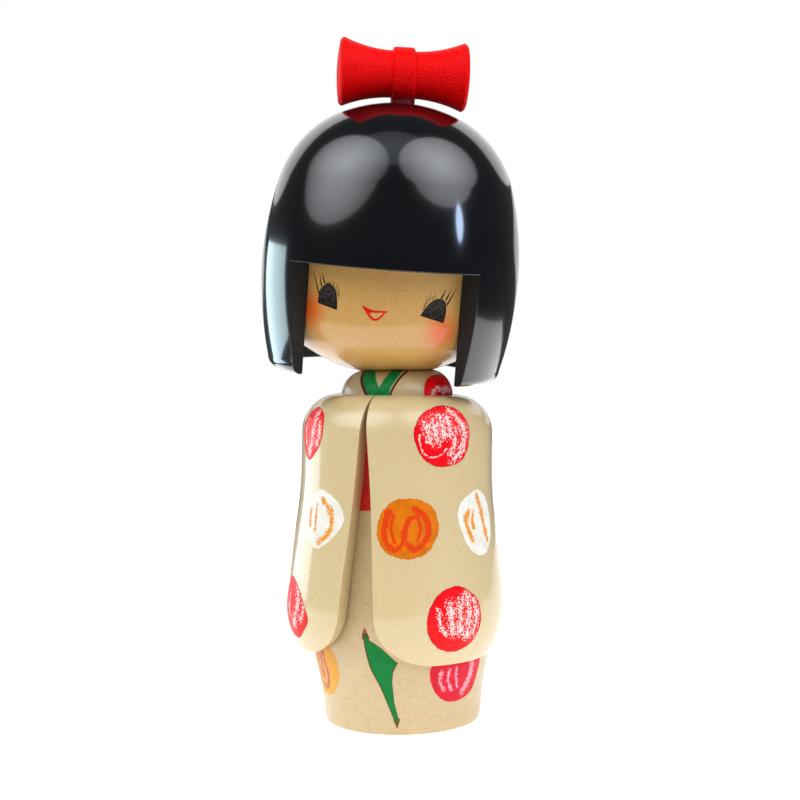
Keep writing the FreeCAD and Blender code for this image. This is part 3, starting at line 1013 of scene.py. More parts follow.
@dataclass(frozen=True)
class Dots:
    """The round dots of the kimono, each brushed in one of a few ways."""

    red_edge: Line = field(default_factory=lambda: [
        (1.8, 7.1), (7.0, 5.4), (8.2, 0.1), (6.0, -5.2),
        (-0.4, -6.8), (-5.1, -4.7), (-7.4, 0.8), (-4.9, 5.3)])
    low_edge: Line = field(default_factory=lambda: [
        (1.0, 7.3), (6.2, 3.9), (7.2, -1.8), (4.7, -6.4),
        (-0.4, -7.8), (-4.9, -5.3), (-6.4, -0.3), (-4.2, 5.2)])
    orange_edge: Line = field(default_factory=lambda: [
        (7.2, -0.5), (6.0, 4.7), (1.2, 6.8), (-4.0, 5.9),
        (-6.9, 1.3), (-6.0, -4.0), (-1.5, -6.6), (3.9, -5.6)])
    white_edge: Line = field(default_factory=lambda: [
        (1.4, 7.4), (6.0, 4.2), (6.9, -1.4), (4.8, -5.8),
        (1.3, -7.7), (-2.9, -5.9), (-5.8, 0.2), (-4.8, 4.7)])
    fan: tuple[Stroke, ...] = (
        Stroke([(-4.4, 3.2), (-4.0, 1.4), (-3.8, -0.6)], 2.0),
        Stroke([(-2.4, 3.7), (-2.1, 1.6), (-1.6, -0.8)], 2.2),
        Stroke([(-0.4, 4.3), (0.0, 2.4), (0.4, 0.2)], 2.2),
        Stroke([(1.6, 4.7), (1.9, 2.6), (2.0, 0.4)], 1.9),
        Stroke([(-5.2, 2.4), (-6.0, -0.6), (-4.9, -3.6), (-2.8, -4.6), (-0.4, -4.0), (1.0, -2.6)], 0.42),
        Stroke([(3.2, 6.0), (5.6, 3.4), (6.4, 0.2), (5.4, -3.2), (3.0, -5.2)], 2.1),
        Stroke([(3.7, 1.8), (3.4, -1.5), (2.2, -4.0)], 1.3),
    )
    comb: tuple[Stroke, ...] = (
        Stroke([(-3.8, 2.2), (-3.4, -1.2), (-2.0, -3.6)], 1.1),
        Stroke([(-1.0, 3.4), (-0.9, 0.4), (-0.6, -3.2)], 2.1),
        Stroke([(1.3, 3.8), (1.3, 0.2), (1.4, -3.4)], 2.2),
        Stroke([(3.2, 5.2), (3.8, 0.4), (3.2, -4.2)], 2.2),
        Stroke([(5.2, 3.8), (5.9, -0.4), (4.8, -4.2)], 1.6),
    )
    curl: tuple[Stroke, ...] = (
        Stroke([(0.4, 4.6), (0.6, 0.6), (-1.4, -4.2)], 2.0),
        Stroke([(3.0, 3.0), (3.2, 0.2), (2.0, -2.6)], 1.3),
        Stroke([(-3.4, 3.4), (-4.0, 0.0), (-3.4, -2.6)], 0.6),
    )
    loops: tuple[Stroke, ...] = (
        Stroke([(-4.2, 3.8), (-5.4, 0.2), (-4.9, -3.0), (-3.0, -4.7), (-1.2, -3.2), (-0.7, -0.4),
                (0.3, 2.2), (1.6, 2.6)], 0.95),
        Stroke([(1.2, 4.8), (4.0, 2.7), (4.8, -0.4), (3.6, -3.1), (1.3, -4.6), (0.0, -3.4)], 0.95),
        Stroke([(-3.2, 3.2), (-3.9, 0.2), (-3.0, -3.0)], 0.55),
        Stroke([(2.1, 3.0), (2.9, 0.2), (2.1, -2.8)], 0.5),
        Stroke([(-4.6, 3.6), (-5.0, 2.0), (-5.2, 0.6)], 1.3),
    )
    dashes: tuple[Stroke, ...] = (
        Stroke([(1.0, 6.0), (2.4, 2.3), (3.4, -2.0), (4.2, -4.4)], 1.7),
        Stroke([(-2.2, 2.9), (-3.6, 1.0), (-3.0, -1.6), (-1.9, -4.0)], 1.6),
        Stroke([(-0.6, 2.8), (-1.4, 0.8), (-1.2, -1.2)], 1.3),
    )
    crescent: tuple[Stroke, ...] = (
        Stroke([(-0.6, 4.4), (2.1, 2.0), (2.9, -0.7), (1.9, -3.5), (-0.7, -5.4)], 1.8),
        Stroke([(-4.8, 2.6), (-5.0, 0.4), (-4.6, -1.8)], 1.0),
        Stroke([(-2.6, 3.2), (-2.6, 0.4), (-2.4, -2.6)], 0.9),
    )

    def red(self, facing: float, height: float) -> Patch:
        """A scarlet dot with a fan of dry white strokes."""
        return Patch(facing, height, self.red_edge, RED_DOT, self.fan, wobble=0.12)

    def low_red(self, facing: float, height: float) -> Patch:
        """A scarlet dot combed with dry white strokes."""
        return Patch(facing, height, self.low_edge, RED_DOT, self.comb, wobble=0.12)

    def curled_red(self, facing: float, height: float, edge: Line) -> Patch:
        """A narrow scarlet dot with one long dry white curl."""
        return Patch(facing, height, edge, RED_DOT, self.curl, wobble=0.08)

    def orange(self, facing: float, height: float) -> Patch:
        """An orange dot with a double loop of vermilion."""
        return Patch(facing, height, self.orange_edge, ORANGE_DOT, self.loops, wobble=0.22)

    def white(self, facing: float, height: float) -> Patch:
        """A white dot with dry ochre dashes."""
        return Patch(facing, height, self.white_edge, WHITE_DOT, self.dashes, wobble=0.14)

    def crescent_white(self, facing: float, height: float, edge: Line) -> Patch:
        """A white dot with an ochre crescent."""
        return Patch(facing, height, edge, WHITE_DOT, self.crescent, wobble=0.14)


def scaled(line: Line, size: float) -> Line:
    """The line's points, made larger or smaller about its zero."""
    return [(across * size, up * size) for across, up in line]


@dataclass
class BodyBlock:
    """The doll's body: turned skirt, waist and shoulders, with a dished neck and a painted sash."""

    foot: float = 18.8
    foot_round: float = 0.9
    hem: tuple[float, float] = (20.9, 15.0)
    hip: tuple[float, float] = (21.6, 27.0)
    waist: tuple[float, float] = (18.3, 54.0)
    chest: float = 18.0
    chest_low: float = 58.0
    chest_high: float = 68.7
    dome: float = 13.4
    shoulder: float = 73.0
    dome_height: float = 78.2
    neck: tuple[float, float] = (8.8, 84.04)
    seat_depth: float = 1.1
    seat_ball: float = 37.6
    sash: tuple[float, float] = (51.9, 77.6)
    skirt_gauge: float = 20.4  # the radius that the skirt's paint is measured round at
    collar_gauge: float = 11.0
    step: float = 0.7
    columns: int = 256

    def profile(self) -> Points:
        """The outside from the edge of the foot to the edge of the neck.

        Returns:
            Rows of (radius, height) in mm.
        """
        return outline([
            (self.foot - self.foot_round, 0, self.foot_round),
            (self.foot, self.foot_round, -75),
            (*self.hem, 48),
            (*self.hip, 0),
            (*self.waist, 0),
            (self.chest, self.chest_low, 0),
            (self.chest, self.chest_high, 4.3),
            (self.dome, self.shoulder, 0),
            (self.dome, self.dome_height, 6.0),
            (*self.neck, 0),
        ], self.step)

    def skin(self, gauge: float, measure: Measure = Measure.HEIGHT) -> Skin:
        """The outside, for paint."""
        return Skin(self.profile(), Stance(), gauge, measure)

    def build(self) -> None:
        """Turns the block, closes it at the foot and in the dish of the neck, and dresses it."""
        dish = outline([(*self.neck, -self.seat_ball), (0, self.neck[1] - self.seat_depth, 0)], self.step)
        profile = np.concatenate([[[0, 0]], self.profile()[:-1], dish])
        wood = VarnishedWood("varnished dogwood, body", "#CCB78E", "#B89A6A", ring_depth=0.34, fleck=0.3,
                             band=self.sash, coat=0.45)
        make_piece("body_turned", turned_sheet(profile, self.columns), [wood.material()], Body.TORSO,
                   replaces="body")

    def paint(self) -> None:
        """Paints the skirt's dots, the green lining that shows at the front, and the crossed collar."""
        dots = Dots()
        skirt = self.skin(self.skirt_gauge)
        shoulders = self.skin(self.dome, Measure.LENGTH)
        crimson = BrushedPaint("crimson poster paint", "#D81A30", "#C81028", "#EE98A6", cover=0.55)
        ochre = BrushedPaint("ochre poster paint", "#E2A040", "#DC9838", "#B86648", cover=0.8, streak=0.5)
        patches = [
            Patch(58, 13.6, scaled(dots.red_edge, 0.98), CRIMSON_DOT, (
                Stroke([(-4.4, 1.0), (-4.6, -1.2), (-3.4, -3.4)], 0.7),
                Stroke([(-2.4, 1.4), (-2.4, -1.4), (-1.2, -3.6)], 0.6),
                Stroke([(-0.4, 1.6), (-0.2, -1.0), (0.4, -3.2)], 0.6),
                Stroke([(4.4, 4.0), (4.6, -1.0), (2.4, -4.6)], 1.3)), wobble=0.12),
            Patch(-46, 14.2, dots.orange_edge, OCHRE_DOT, (
                Stroke([(-3.0, 5.0), (-3.4, 0.0), (-1.6, -4.2), (1.4, -4.4), (2.6, -1.0), (1.6, 5.0)], 0.8),
                Stroke([(-1.0, 5.0), (-1.2, 0.4), (0.2, -2.2), (0.6, 5.0)], 0.7)), wobble=0.2),
            Patch(150, 13.6, scaled(dots.red_edge, 0.95), CRIMSON_DOT, dots.fan, wobble=0.12),
            Patch(-142, 13.8, dots.orange_edge, OCHRE_DOT, dots.loops, wobble=0.2),
        ]
        sheet = joined([patch.sheet(skirt) for patch in patches])
        make_piece("body_skirt_dots", sheet, [crimson.material(), ochre.material()], Body.TORSO)
        touches = (Stroke([(-3.4, 0.4), (-1.4, 1.6), (0.6, 0.8)], 1.3),
                   Stroke([(0.4, 0.0), (2.0, 1.4), (4.0, 0.6)], 1.3))
        front = Patch(72, self.dome_height, scaled(dots.red_edge, 0.76), RED_DOT, touches, wobble=0.1)
        back = Patch(-150, self.dome_height + 0.4, scaled(dots.low_edge, 0.72), RED_DOT, dots.comb,
                     wobble=0.1)
        sheet = joined([front.sheet(shoulders), back.sheet(shoulders)])
        make_piece("body_shoulder_dots", sheet, dot_finishes(), Body.TORSO)
        self.paint_lining(skirt)
        self.paint_collar(self.skin(self.collar_gauge, Measure.LENGTH))

    def paint_lining(self, skirt: Skin) -> None:
        """The green lining where the kimono's front parts, with burnt brown tips.

        Args:
            skirt: the surface of the skirt.
        """
        green = BrushedPaint("green poster paint", "#007A34", "#006E2C", "#0A6A38", rim="#0B4A22",
                             rim_width=0.22).material()
        brown = BrushedPaint("burnt umber paint", "#74380F", "#8A4A1A", "#3A1C0C").material()
        lining = Gore(0, [(2.9, 5.35), (4.4, 4.75), (8.0, 3.3), (11.8, 1.85), (16.0, 0.0), (20.4, -0.9),
                          (24.2, -1.25)],
                      [(2.9, 5.7), (3.9, 6.0), (7.8, 5.05), (12.9, 4.75), (15.5, 5.1), (17.4, 6.1),
                       (20.9, 2.6), (22.4, 0.2), (24.2, -1.0)])
        sheet = lining.sheet(skirt)
        make_piece("body_lining", sheet, [green], Body.TORSO)
        lines = [
            Ribbon(0, 0, [(5.1, 4.0), (5.45, 2.8), (5.55, 1.7)], 0.5, 0.06),
            Ribbon(0, 0, [(6.1, 4.1), (5.9, 3.0), (5.6, 1.7)], 0.3, 0.05),
            Ribbon(0, 0, [(-1.35, 22.6), (-1.4, 24.0), (-1.1, 25.3)], 0.36, 0.08),
            Ribbon(0, 0, [(-0.2, 22.9), (-0.7, 24.1), (-1.0, 25.3)], 0.36, 0.08),
            Ribbon(0, 0, [(-0.1, 22.4), (1.1, 21.8), (2.5, 20.8)], 0.16, 0.05),
            Ribbon(0, 0, [(-1.3, 22.6), (-0.9, 20.0), (0.0, 15.9), (1.85, 11.7), (3.3, 7.9), (5.2, 3.0)],
                   0.13, 0.1),
            Ribbon(0, 0, [(6.1, 17.5), (5.5, 16.3), (5.1, 15.3)], 0.16, 0.05),
        ]
        sheet = joined([line.sheet(skirt) for line in lines])
        make_piece("body_lining_outline", sheet, [brown], Body.TORSO)

    def paint_collar(self, dome: Skin) -> None:
        """The crossed collar in green, outlined in brown, as it shows on the dome of the shoulders.

        Args:
            dome: the surface of the shoulders.
        """
        green = BrushedPaint("green collar paint", "#008440", "#007A38", "#0A6A38").material()
        brown = BrushedPaint("dark brown paint", "#3E1C10", "#55260F", "#2A120A").material()
        bands = [
            Gore(0, [(-1.5, -1.0), (0.5, -2.1), (8.1, -6.3)], [(-1.5, 1.4), (1.9, 0.3), (8.1, -2.6)],
                 height=self.dome_height),
            Gore(0, [(-1.5, -1.0), (1.9, 0.2), (8.1, 2.6)],
                 [(-1.5, 1.9), (0.6, 2.3), (1.7, 2.45), (8.1, 5.7)], height=self.dome_height),
        ]
        sheet = joined([band.sheet(dome) for band in bands])
        make_piece("body_collar", sheet, [green], Body.TORSO)
        lines = [
            Ribbon(0, self.dome_height, [(-7.1, 8.1), (-4.4, 4.0), (-2.3, 0.3), (-1.4, -1.5)],
                   0.55, 0.35, 0.6),
            Ribbon(0, self.dome_height, [(6.9, 7.6), (4.4, 4.4), (2.75, 1.1), (2.3, -1.2)],
                   0.26, 0.2, 0.3),
        ]
        sheet = joined([line.sheet(dome) for line in lines])
        make_piece("body_collar_outline", sheet, [brown], Body.TORSO)


@dataclass
class Sleeves:
    """The sleeves: a leaning turned bell sawn in two, with rounded lower corners."""

    block: BodyBlock
    stance: Stance = Stance(pivot=75.0, drop=75.0, lean=1.75, bearing=110.0)
    low: tuple[float, float] = (21.5, 15.0)
    hip: tuple[float, float] = (26.7, 28.6)
    waist: tuple[float, float] = (23.3, 53.0)
    chest: float = 22.9
    chest_low: float = 58.0
    chest_high: float = 69.8
    crown: tuple[float, float] = (14.6, 78.3)
    slit_top: float = 0.16
    slit_low: tuple[float, float] = (4.3, 29.0)
    right_corner: tuple[float, float, float] = (12.2, 16.5, 16.8)  # bend, span and height of the hem
    left_corner: tuple[float, float, float] = (11.0, 15.3, 18.0)
    bite: float = 0.06  # how far the inside sinks into the body, so no gap shows, mm
    least_wall: float = 0.3
    gauge: float = 24.0  # the radius that the paint is measured round at
    sanding: int = 9  # rows on each side that soften the bell's faint corners
    edge: Edge = Edge(0.35)
    columns: int = 150
    step: float = 0.6

    def profile(self) -> Points:
        """The outside of the bell from its hem to its crown.

        Returns:
            Rows of (radius, height) in mm.
        """
        lower = outline([
            (*self.low, 16.4),
            (*self.hip, 0),
            (*self.waist, 0),
            (self.chest, self.chest_low, 0),
            (self.chest, self.chest_high, 0),
        ], self.step)
        shoulder = outline([(self.chest, self.chest_high, 9.2), (*self.crown, 0)], self.step)
        return np.concatenate([softened(lower, self.sanding)[:-1], shoulder])

    def skin(self) -> Skin:
        """The outside of the bell, for paint."""
        return Skin(self.profile(), self.stance, self.gauge)

    def body_radius(self, angle: Points, height: Points) -> Points:
        """The distance from the bell's axis to the body, found by stepping out until the point is on it.

        Args:
            angle: the bearings on the bell, in radians.
            height: the heights on the bell, in mm.

        Returns:
            The distances in mm, less the bite.
        """
        block = self.block.profile()
        rising = np.maximum.accumulate(block[:, 1] + np.arange(len(block)) * 1e-9)
        reach = np.full(np.broadcast(angle, height).shape, self.block.chest)
        for _ in range(6):
            own = np.stack([reach * np.sin(angle), -reach * np.cos(angle), height + 0 * reach], axis=-1)
            on_doll = self.stance.place(own)
            wanted = np.interp(on_doll[..., 2], rising, block[:, 0])
            reach = reach + wanted - np.hypot(on_doll[..., 0], on_doll[..., 1])
        return reach - self.bite

    def sheet(self, side: Side) -> Sheet:
        """One sleeve as closed loops stacked up the saw line.

        A loop at a height runs round the bell's outside from the front cut to the back cut and back
        round the inside, against the body. The cuts are at x = the saw line's half width, so the
        outside's angles run from asin(width / radius) to half a turn less that.

        Args:
            side: which sleeve it is.

        Returns:
            The closed sleeve.
        """
        bend, span, hem = self.right_corner if side is Side.RIGHT else self.left_corner
        saw = outline([
            (self.slit_top, self.crown[1], 0), (*self.slit_low, bend), (span, hem, 0)], self.step)
        width, height = saw[:, :1], saw[:, 1:]
        shape = self.profile()
        outside = np.interp(height[:, 0], shape[:, 1], shape[:, 0])[:, None]
        share = np.linspace(0, 1, self.columns)[None]
        first = np.arcsin(width / outside)
        angle_out = first + (math.pi - 2 * first) * share
        guess = self.body_radius(np.full_like(width, 0.2), height)
        start = np.arcsin(np.clip(width / guess, 0, 1))
        angle_in = start + (math.pi - 2 * start) * (1 - share)
        inside = self.body_radius(angle_in, height)
        inside = np.minimum(inside, outside - self.least_wall)
        around = np.concatenate([angle_out, angle_in], axis=1)
        reach = np.concatenate([outside + 0 * angle_out, inside], axis=1)
        across = reach * np.sin(around)
        for column in (self.columns, 2 * self.columns - 1):
            across[:, column] = width[:, 0]
        points = np.stack([side.value * across, -reach * np.cos(around), height + 0 * around], axis=-1)
        loop = 2 * self.columns
        faces = tube(len(saw), loop)
        return Sheet(self.stance.place(points.reshape(-1, 3)), faces)

    def build(self) -> None:
        """Saws both sleeves from the bell, eases their edges and paints their dots."""
        wood = VarnishedWood("varnished dogwood, sleeves", "#D3BF93", "#C5A974", ring_depth=0.08, fleck=0.2,
                             coat=1.0, coat_roughness=0.08)
        material = wood.material()
        for side in Side:
            name = side.name.lower()
            make_piece(f"sleeve_{name}_sawn", self.sheet(side), [material], Body.TORSO,
                       replaces=f"sleeve_{name}", edge=self.edge)
        self.paint()

    def paint(self) -> None:
        """Brushes the dots on both sleeves, front and back."""
        dots = Dots()
        skin = self.skin()
        right = [
            dots.red(47, 69.1), dots.orange(26.4, 48.4), dots.white(71, 49.2), dots.low_red(51, 28),
            dots.red(128, 68.6), dots.orange(122, 47.6), dots.white(153, 49.4), dots.low_red(122, 28.4),
        ]
        left = [
            dots.curled_red(-40, 69.1, [(-2.1, 6.1), (3.4, 4.6), (4.7, 0.6), (2.6, -3.6), (-2.0, -6.3),
                                        (-5.6, -2.4), (-5.4, 3.2)]),
            dots.crescent_white(-25.3, 49.7, [(-1.7, 6.7), (4.0, 4.4), (6.3, 0.5), (4.3, -3.3), (-0.7, -6.9),
                                              (-5.0, -5.1), (-7.4, -0.8), (-6.2, 4.0)]),
            dots.curled_red(-41, 28.6, [(-4.6, 6.4), (0.4, 4.6), (3.6, 0.4), (4.8, -2.6), (2.4, -5.6),
                                        (-0.6, -7.5), (-4.2, -6.4), (-6.4, -1.1)]),
            dots.orange(-80, 48.8), dots.red(-128, 68.8), dots.white(-122, 49.6), dots.orange(-156, 47.8),
            dots.low_red(-112, 28.6),
        ]
        for name, patches in (("right", right), ("left", left)):
            sheet = joined([patch.sheet(skin, rings=36, spokes=240) for patch in patches])
            make_piece(f"sleeve_{name}_dots", sheet, dot_finishes(), Body.TORSO)


@dataclass
class Head:
    """The head: turned on its own axis, leaning, with a painted face."""

    stance: Stance
    ball: float = 37.5  # radius of the ball that the jaw is part of
    jaw: tuple[float, float] = (20.5, 6.1)
    radius: float = 25.2
    low: float = 14.8
    high: float = 43.0
    top: tuple[float, float] = (11.2, 57.0)
    face_bearing: float = 10.5
    step: float = 0.7
    columns: int = 256
    eye_left: Line = field(default_factory=lambda: [
        (-13.1, 17.5), (-13.1, 17.5), (-7.6, 16.4), (-7.6, 16.4), (-7.75, 18.7), (-8.4, 20.9), (-10.3, 22.2),
        (-12.1, 21.2), (-12.9, 19.6)])
    eye_right: Line = field(default_factory=lambda: [
        (11.9, 16.6), (11.9, 16.6), (17.9, 15.1), (17.9, 15.1), (18.35, 18.0), (17.9, 20.0), (15.9, 20.6),
        (14.2, 19.7), (12.9, 18.2)])

    def profile(self) -> Points:
        """The outside from the chin's lowest point to the edge of the top."""
        return outline([
            (0, 0, self.ball), (*self.jaw, 10.4), (self.radius, self.low, 0), (self.radius, self.high, 14),
            (*self.top, 0)], self.step)

    def skin(self) -> Skin:
        """The outside, for paint."""
        return Skin(self.profile(), self.stance, self.radius)

    def spot(self, across: float, up: float) -> tuple[float, float, float]:
        """The place on the doll of a point of the face, in mm."""
        point = self.skin().lay(np.array([across]), np.array([0.0]), self.face_bearing, up, 0.0)[0]
        return float(point[0]), float(point[1]), float(point[2])

    def build(self) -> None:
        """Turns the head and sprays its cheeks."""
        profile = np.concatenate([self.profile(), [[0, self.top[1]]]])
        sheet = turned_sheet(profile, self.columns)
        sheet.points = self.stance.place(sheet.points)
        wood = VarnishedWood(
            "varnished dogwood, face", "#D6A760", "#BE8C40", ring_depth=0.08, fleck=0.5, coat=0.7,
            coat_roughness=0.12, blushes=(
                Blush(self.spot(-15.5, 15.8), 6.8), Blush(self.spot(17.7, 13.0), 6.8)))
        make_piece("head_turned", sheet, [wood.material()], Body.HEAD, replaces="head")

    def lashes(self) -> list[Ribbon]:
        """Three long lashes at each eye's outer side, then a spray of fine ones.

        Fine lashes start on a circle round the eye's middle and lean away from it. Sines of their number
        make them uneven in length and start.

        Returns:
            The lashes, as lines of ink on the face.
        """
        left = [[(-12.9, 19.6), (-13.9, 21.8), (-15.1, 24.5)], [(-12.3, 21.3), (-12.6, 22.4), (-12.9, 23.6)],
                [(-11.4, 22.0), (-11.9, 23.2), (-12.4, 24.5)]]
        right = [[(16.7, 20.5), (17.3, 21.6), (17.9, 22.9)], [(18.0, 20.3), (18.7, 21.5), (19.4, 22.9)],
                 [(18.4, 19.2), (19.6, 21.1), (20.9, 23.2)]]
        lines = [Ribbon(self.face_bearing, 0, line, 0.22, 0.03, 0.24) for line in left + right]
        for eye, first, last in ((self.eye_left, 100.0, 5.0), (self.eye_right, 190.0, 95.0)):
            centre = np.mean(eye, axis=0)
            for number, angle in enumerate(np.linspace(math.radians(first), math.radians(last), 15)):
                way = np.array([math.cos(angle), math.sin(angle)])
                long = 0.5 + 0.4 * math.sin(number * 2.4)
                foot = centre + way * (2.7 + 0.25 * math.sin(number * 4.1))
                tip = foot + [0.25 * way[0], 0.55 + long]
                middle = (foot + tip) / 2 + [0.08 * way[0], 0]
                line = [tuple(foot), tuple(middle), tuple(tip)]
                lines.append(Ribbon(self.face_bearing, 0, line, 0.055, 0.02))
        return lines

    def paint(self) -> None:
        """Paints the eyes, lashes and mouth."""
        skin = self.skin()
        eye = BrushedPaint("charcoal eye paint", "#1C1917", "#141110", "#3A3632", cover=0.5, rim="#0E0C0B",
                           rim_width=0.3).material()
        ink = BrushedPaint("black brush ink", "#141110", "#1C1816", "#0A0909").material()
        red = BrushedPaint("red lip paint", "#E01414", "#C80A10", "#F04030").material()
        eyes = []
        for edge in (self.eye_left, self.eye_right):
            middle = tuple(np.mean(edge, axis=0))
            line = [(middle[0] + a, middle[1] + 2.4) for a in (-1.5, 0.0, 1.5)]
            eyes.append(Patch(self.face_bearing, 0, edge, 0, (Stroke(line, 5.5),), 0.0, middle).sheet(skin))
        make_piece("face_eyes", joined(eyes), [eye], Body.HEAD)
        make_piece("face_lashes", joined([line.sheet(skin, 16) for line in self.lashes()]), [ink], Body.HEAD)
        mouth = [
            Ribbon(self.face_bearing, 0, [
                (-1.5, 17.8), (0.0, 17.15), (1.4, 16.85), (3.0, 16.95), (4.3, 17.0)], 0.3, 0.2),
            Ribbon(self.face_bearing, 0, [
                (-0.9, 17.4), (-0.2, 16.5), (0.5, 15.6), (1.4, 15.05), (2.3, 15.25), (3.1, 16.0),
                (3.6, 16.8)], 0.32, 0.2),
            Ribbon(self.face_bearing, 0, [(-1.0, 17.4), (-0.1, 16.9), (0.7, 16.4)], 0.36, 0.1),
        ]
        make_piece("face_mouth", joined([line.sheet(skin) for line in mouth]), [red], Body.HEAD)


@dataclass
class HairCap:
    """The hair: a lacquered turned cap over the head, with a window sawn for the face."""

    stance: Stance
    head: Head
    rim_height: float = 0.4
    rim_face: float = 26.0
    rim: tuple[float, float] = (28.2, 2.8)
    widest: tuple[float, float] = (30.985, 25.0)  # just inside the solid, whose radius is 31
    shoulder: tuple[float, float] = (28.0, 45.5)
    crown: tuple[float, float] = (15.0, 61.5)
    crown_top: float = 64.95
    window_top: float = 26.6
    window_half: float = 44.2
    window_columns: int = 96
    columns: int = 256
    step: float = 0.6
    edge: Edge = Edge(0.28)

    def profile(self) -> Points:
        """The whole section: down the inside from the axis, round the rim, and up the outside to the axis."""
        return outline([
            (0, self.head.top[1], 0), (*self.head.top, -14), (self.head.radius, self.head.high, 0),
            (self.head.radius, self.rim_height, 0), (self.rim_face, self.rim_height, 2.4),
            (*self.rim, 90), (*self.widest, 75), (*self.shoulder, 25.4), (*self.crown, 34.6),
            (0, self.crown_top, 0)], self.step)

    def section(self) -> tuple[Points, int, int]:
        """The section with each wall's nearest row moved to the window's top, and those rows' numbers.

        Returns:
            The section, and the numbers of the inner and the outer wall's row at that height.
        """
        shape = self.profile()
        over = shape[:, 1] > self.window_top
        inner = int(np.argmin(over))
        outer = inner + int(np.argmax(over[inner:]))
        rows = []
        for row in (inner, outer):
            before, after = shape[row - 1].copy(), shape[row].copy()
            share = (self.window_top - before[1]) / (after[1] - before[1])
            rows.append(row if share > 0.5 else row - 1)
            shape[rows[-1]] = before + share * (after - before)
        return shape, rows[0], rows[1]

    def sheet(self) -> Sheet:
        """The section carried round the axis, left out in the window, and closed by flat cut faces.

        Rows of the section that lie below the window's top are left out between the window's sides.
        The ceiling joins the two walls at the window's top, and each side is one flat face round the
        section's lower part.

        Returns:
            The closed cap, with the sawn faces in the second finish.
        """
        shape, inner, outer = self.section()
        half = math.radians(self.window_half)
        across = np.linspace(-half, half, self.window_columns)
        round_back = np.linspace(half, 2 * math.pi - half, self.columns)[1:-1]
        angle = np.concatenate([across, round_back])[None]
        radius, height = shape[:, :1], shape[:, 1:]
        points = np.stack([radius * np.sin(angle), -radius * np.cos(angle), height + 0 * angle], axis=-1)
        wide = angle.shape[1]
        quads = lattice(len(shape), wide)
        row, column = np.divmod(quads[:, 0], wide)
        in_window = (row >= inner) & (row < outer) & (column < self.window_columns - 1)
        faces = quads[~in_window].tolist()
        lacquered = len(faces)
        column = np.arange(self.window_columns - 1)
        ceiling = np.stack([inner * wide + column, inner * wide + column + 1,
                            outer * wide + column + 1, outer * wide + column], axis=1)
        faces += ceiling.tolist()
        for side in (0, self.window_columns - 1):
            faces.append([number * wide + side for number in range(inner, outer + 1)])
        finish = [0] * lacquered + [1] * (len(faces) - lacquered)
        return Sheet(self.stance.place(points.reshape(-1, 3)), faces, finish)

    def build(self) -> None:
        """Turns and saws the cap, and dresses it in gloss with matt cut faces."""
        gloss = Lacquer("black gloss lacquer", "#07080B", "#0B0C10", roughness=0.16, coat=1.0,
                        coat_roughness=0.07, peel=2.5, peel_bump=0.006, ring_bump=0.004, ring=0.8,
                        specular=0.42)
        sawn = SawnPaint("black stain on sawn wood", "#08080A", "#2A2A2C")
        make_piece("hair_cap_turned", self.sheet(), [gloss.material(), sawn.material()], Body.HEAD,
                   replaces="hair_cap", edge=self.edge)


@dataclass
class Bow:
    """The bow: a turned spool with flared ends and a raised knot, lying across the crown."""

    head: Head
    turned: float = 24.7
    roll: float = -1.5
    height: float = 71.45
    shift: float = -0.4
    half_length: float = 15.7
    end: tuple[float, float] = (15.1, 7.3)
    flat: float = 1.5  # radius of each end's flat middle
    rim: tuple[float, float] = (14.2, 7.99)
    waist: float = 5.5
    knot: tuple[float, float] = (2.6, 5.9)
    knot_face: tuple[float, float] = (2.0, 6.4)
    step: float = 0.35
    columns: int = 200

    def profile(self) -> Points:
        """The spool from its right end to its left, as distance across and radius.

        Returns:
            Rows of (distance along the spool, radius) in mm.
        """
        return outline([
            (self.half_length, 0, 0), (self.half_length, self.flat, 45), (*self.end, 1.2), (*self.rim, -30),
            (self.knot[0], self.waist, 0), (*self.knot, 0.7), (*self.knot_face, 0),
            (-self.knot_face[0], self.knot_face[1], 0.7), (-self.knot[0], self.knot[1], 0),
            (-self.knot[0], self.waist, -30), (-self.rim[0], self.rim[1], 1.2),
            (-self.end[0], self.end[1], 45), (-self.half_length, self.flat, 0), (-self.half_length, 0, 0),
        ], self.step)

    def build(self) -> None:
        """Turns the spool, rolls it a little and sets it on its peg over the crown."""
        sheet = turned_sheet(self.profile(), self.columns, Axis.CROSSWISE)
        rolled = np.array(Matrix.Rotation(math.radians(self.roll), 3, "Y"))
        sheet.points = sheet.points @ rolled.T + [self.shift, 0, self.height]
        sheet.points = self.head.stance.facing(self.turned).place(sheet.points)
        red = Lacquer("scarlet satin lacquer", "#FF0003", "#E80003", roughness=0.46, coat=0.03,
                      coat_roughness=0.3, peel=0.42, peel_bump=1.5, ring_bump=0.0, worn_share=1.0,
                      specular=0.07)
        make_piece("bow_turned", sheet, [red.material()], Body.HEAD, replaces="bow")


def dress_pegs() -> None:
    """Finishes the two dowels, which stay as the frame has them: bare wood in the neck, red under the bow."""
    wood = VarnishedWood("oiled beech dowel", "#D9B98A", "#B98D58", coat=0.1, roughness=0.55)
    red = Lacquer("red stained dowel", "#8E0A0C", "#6A0606", roughness=0.5, coat=0.1, coat_roughness=0.3)
    for name, finish in (("neck_peg", wood.material()), ("bow_peg", red.material())):
        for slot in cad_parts[name].material_slots:
            slot.material = finish


# ---------------------------------------------------------------- studio


class PanelShape(Enum):
    """The outline of a light panel."""

    ROUND = "ELLIPSE"
    SQUARE = "RECTANGLE"


GRID = 82.0  # the angle that a panel shines over through a grid, degrees


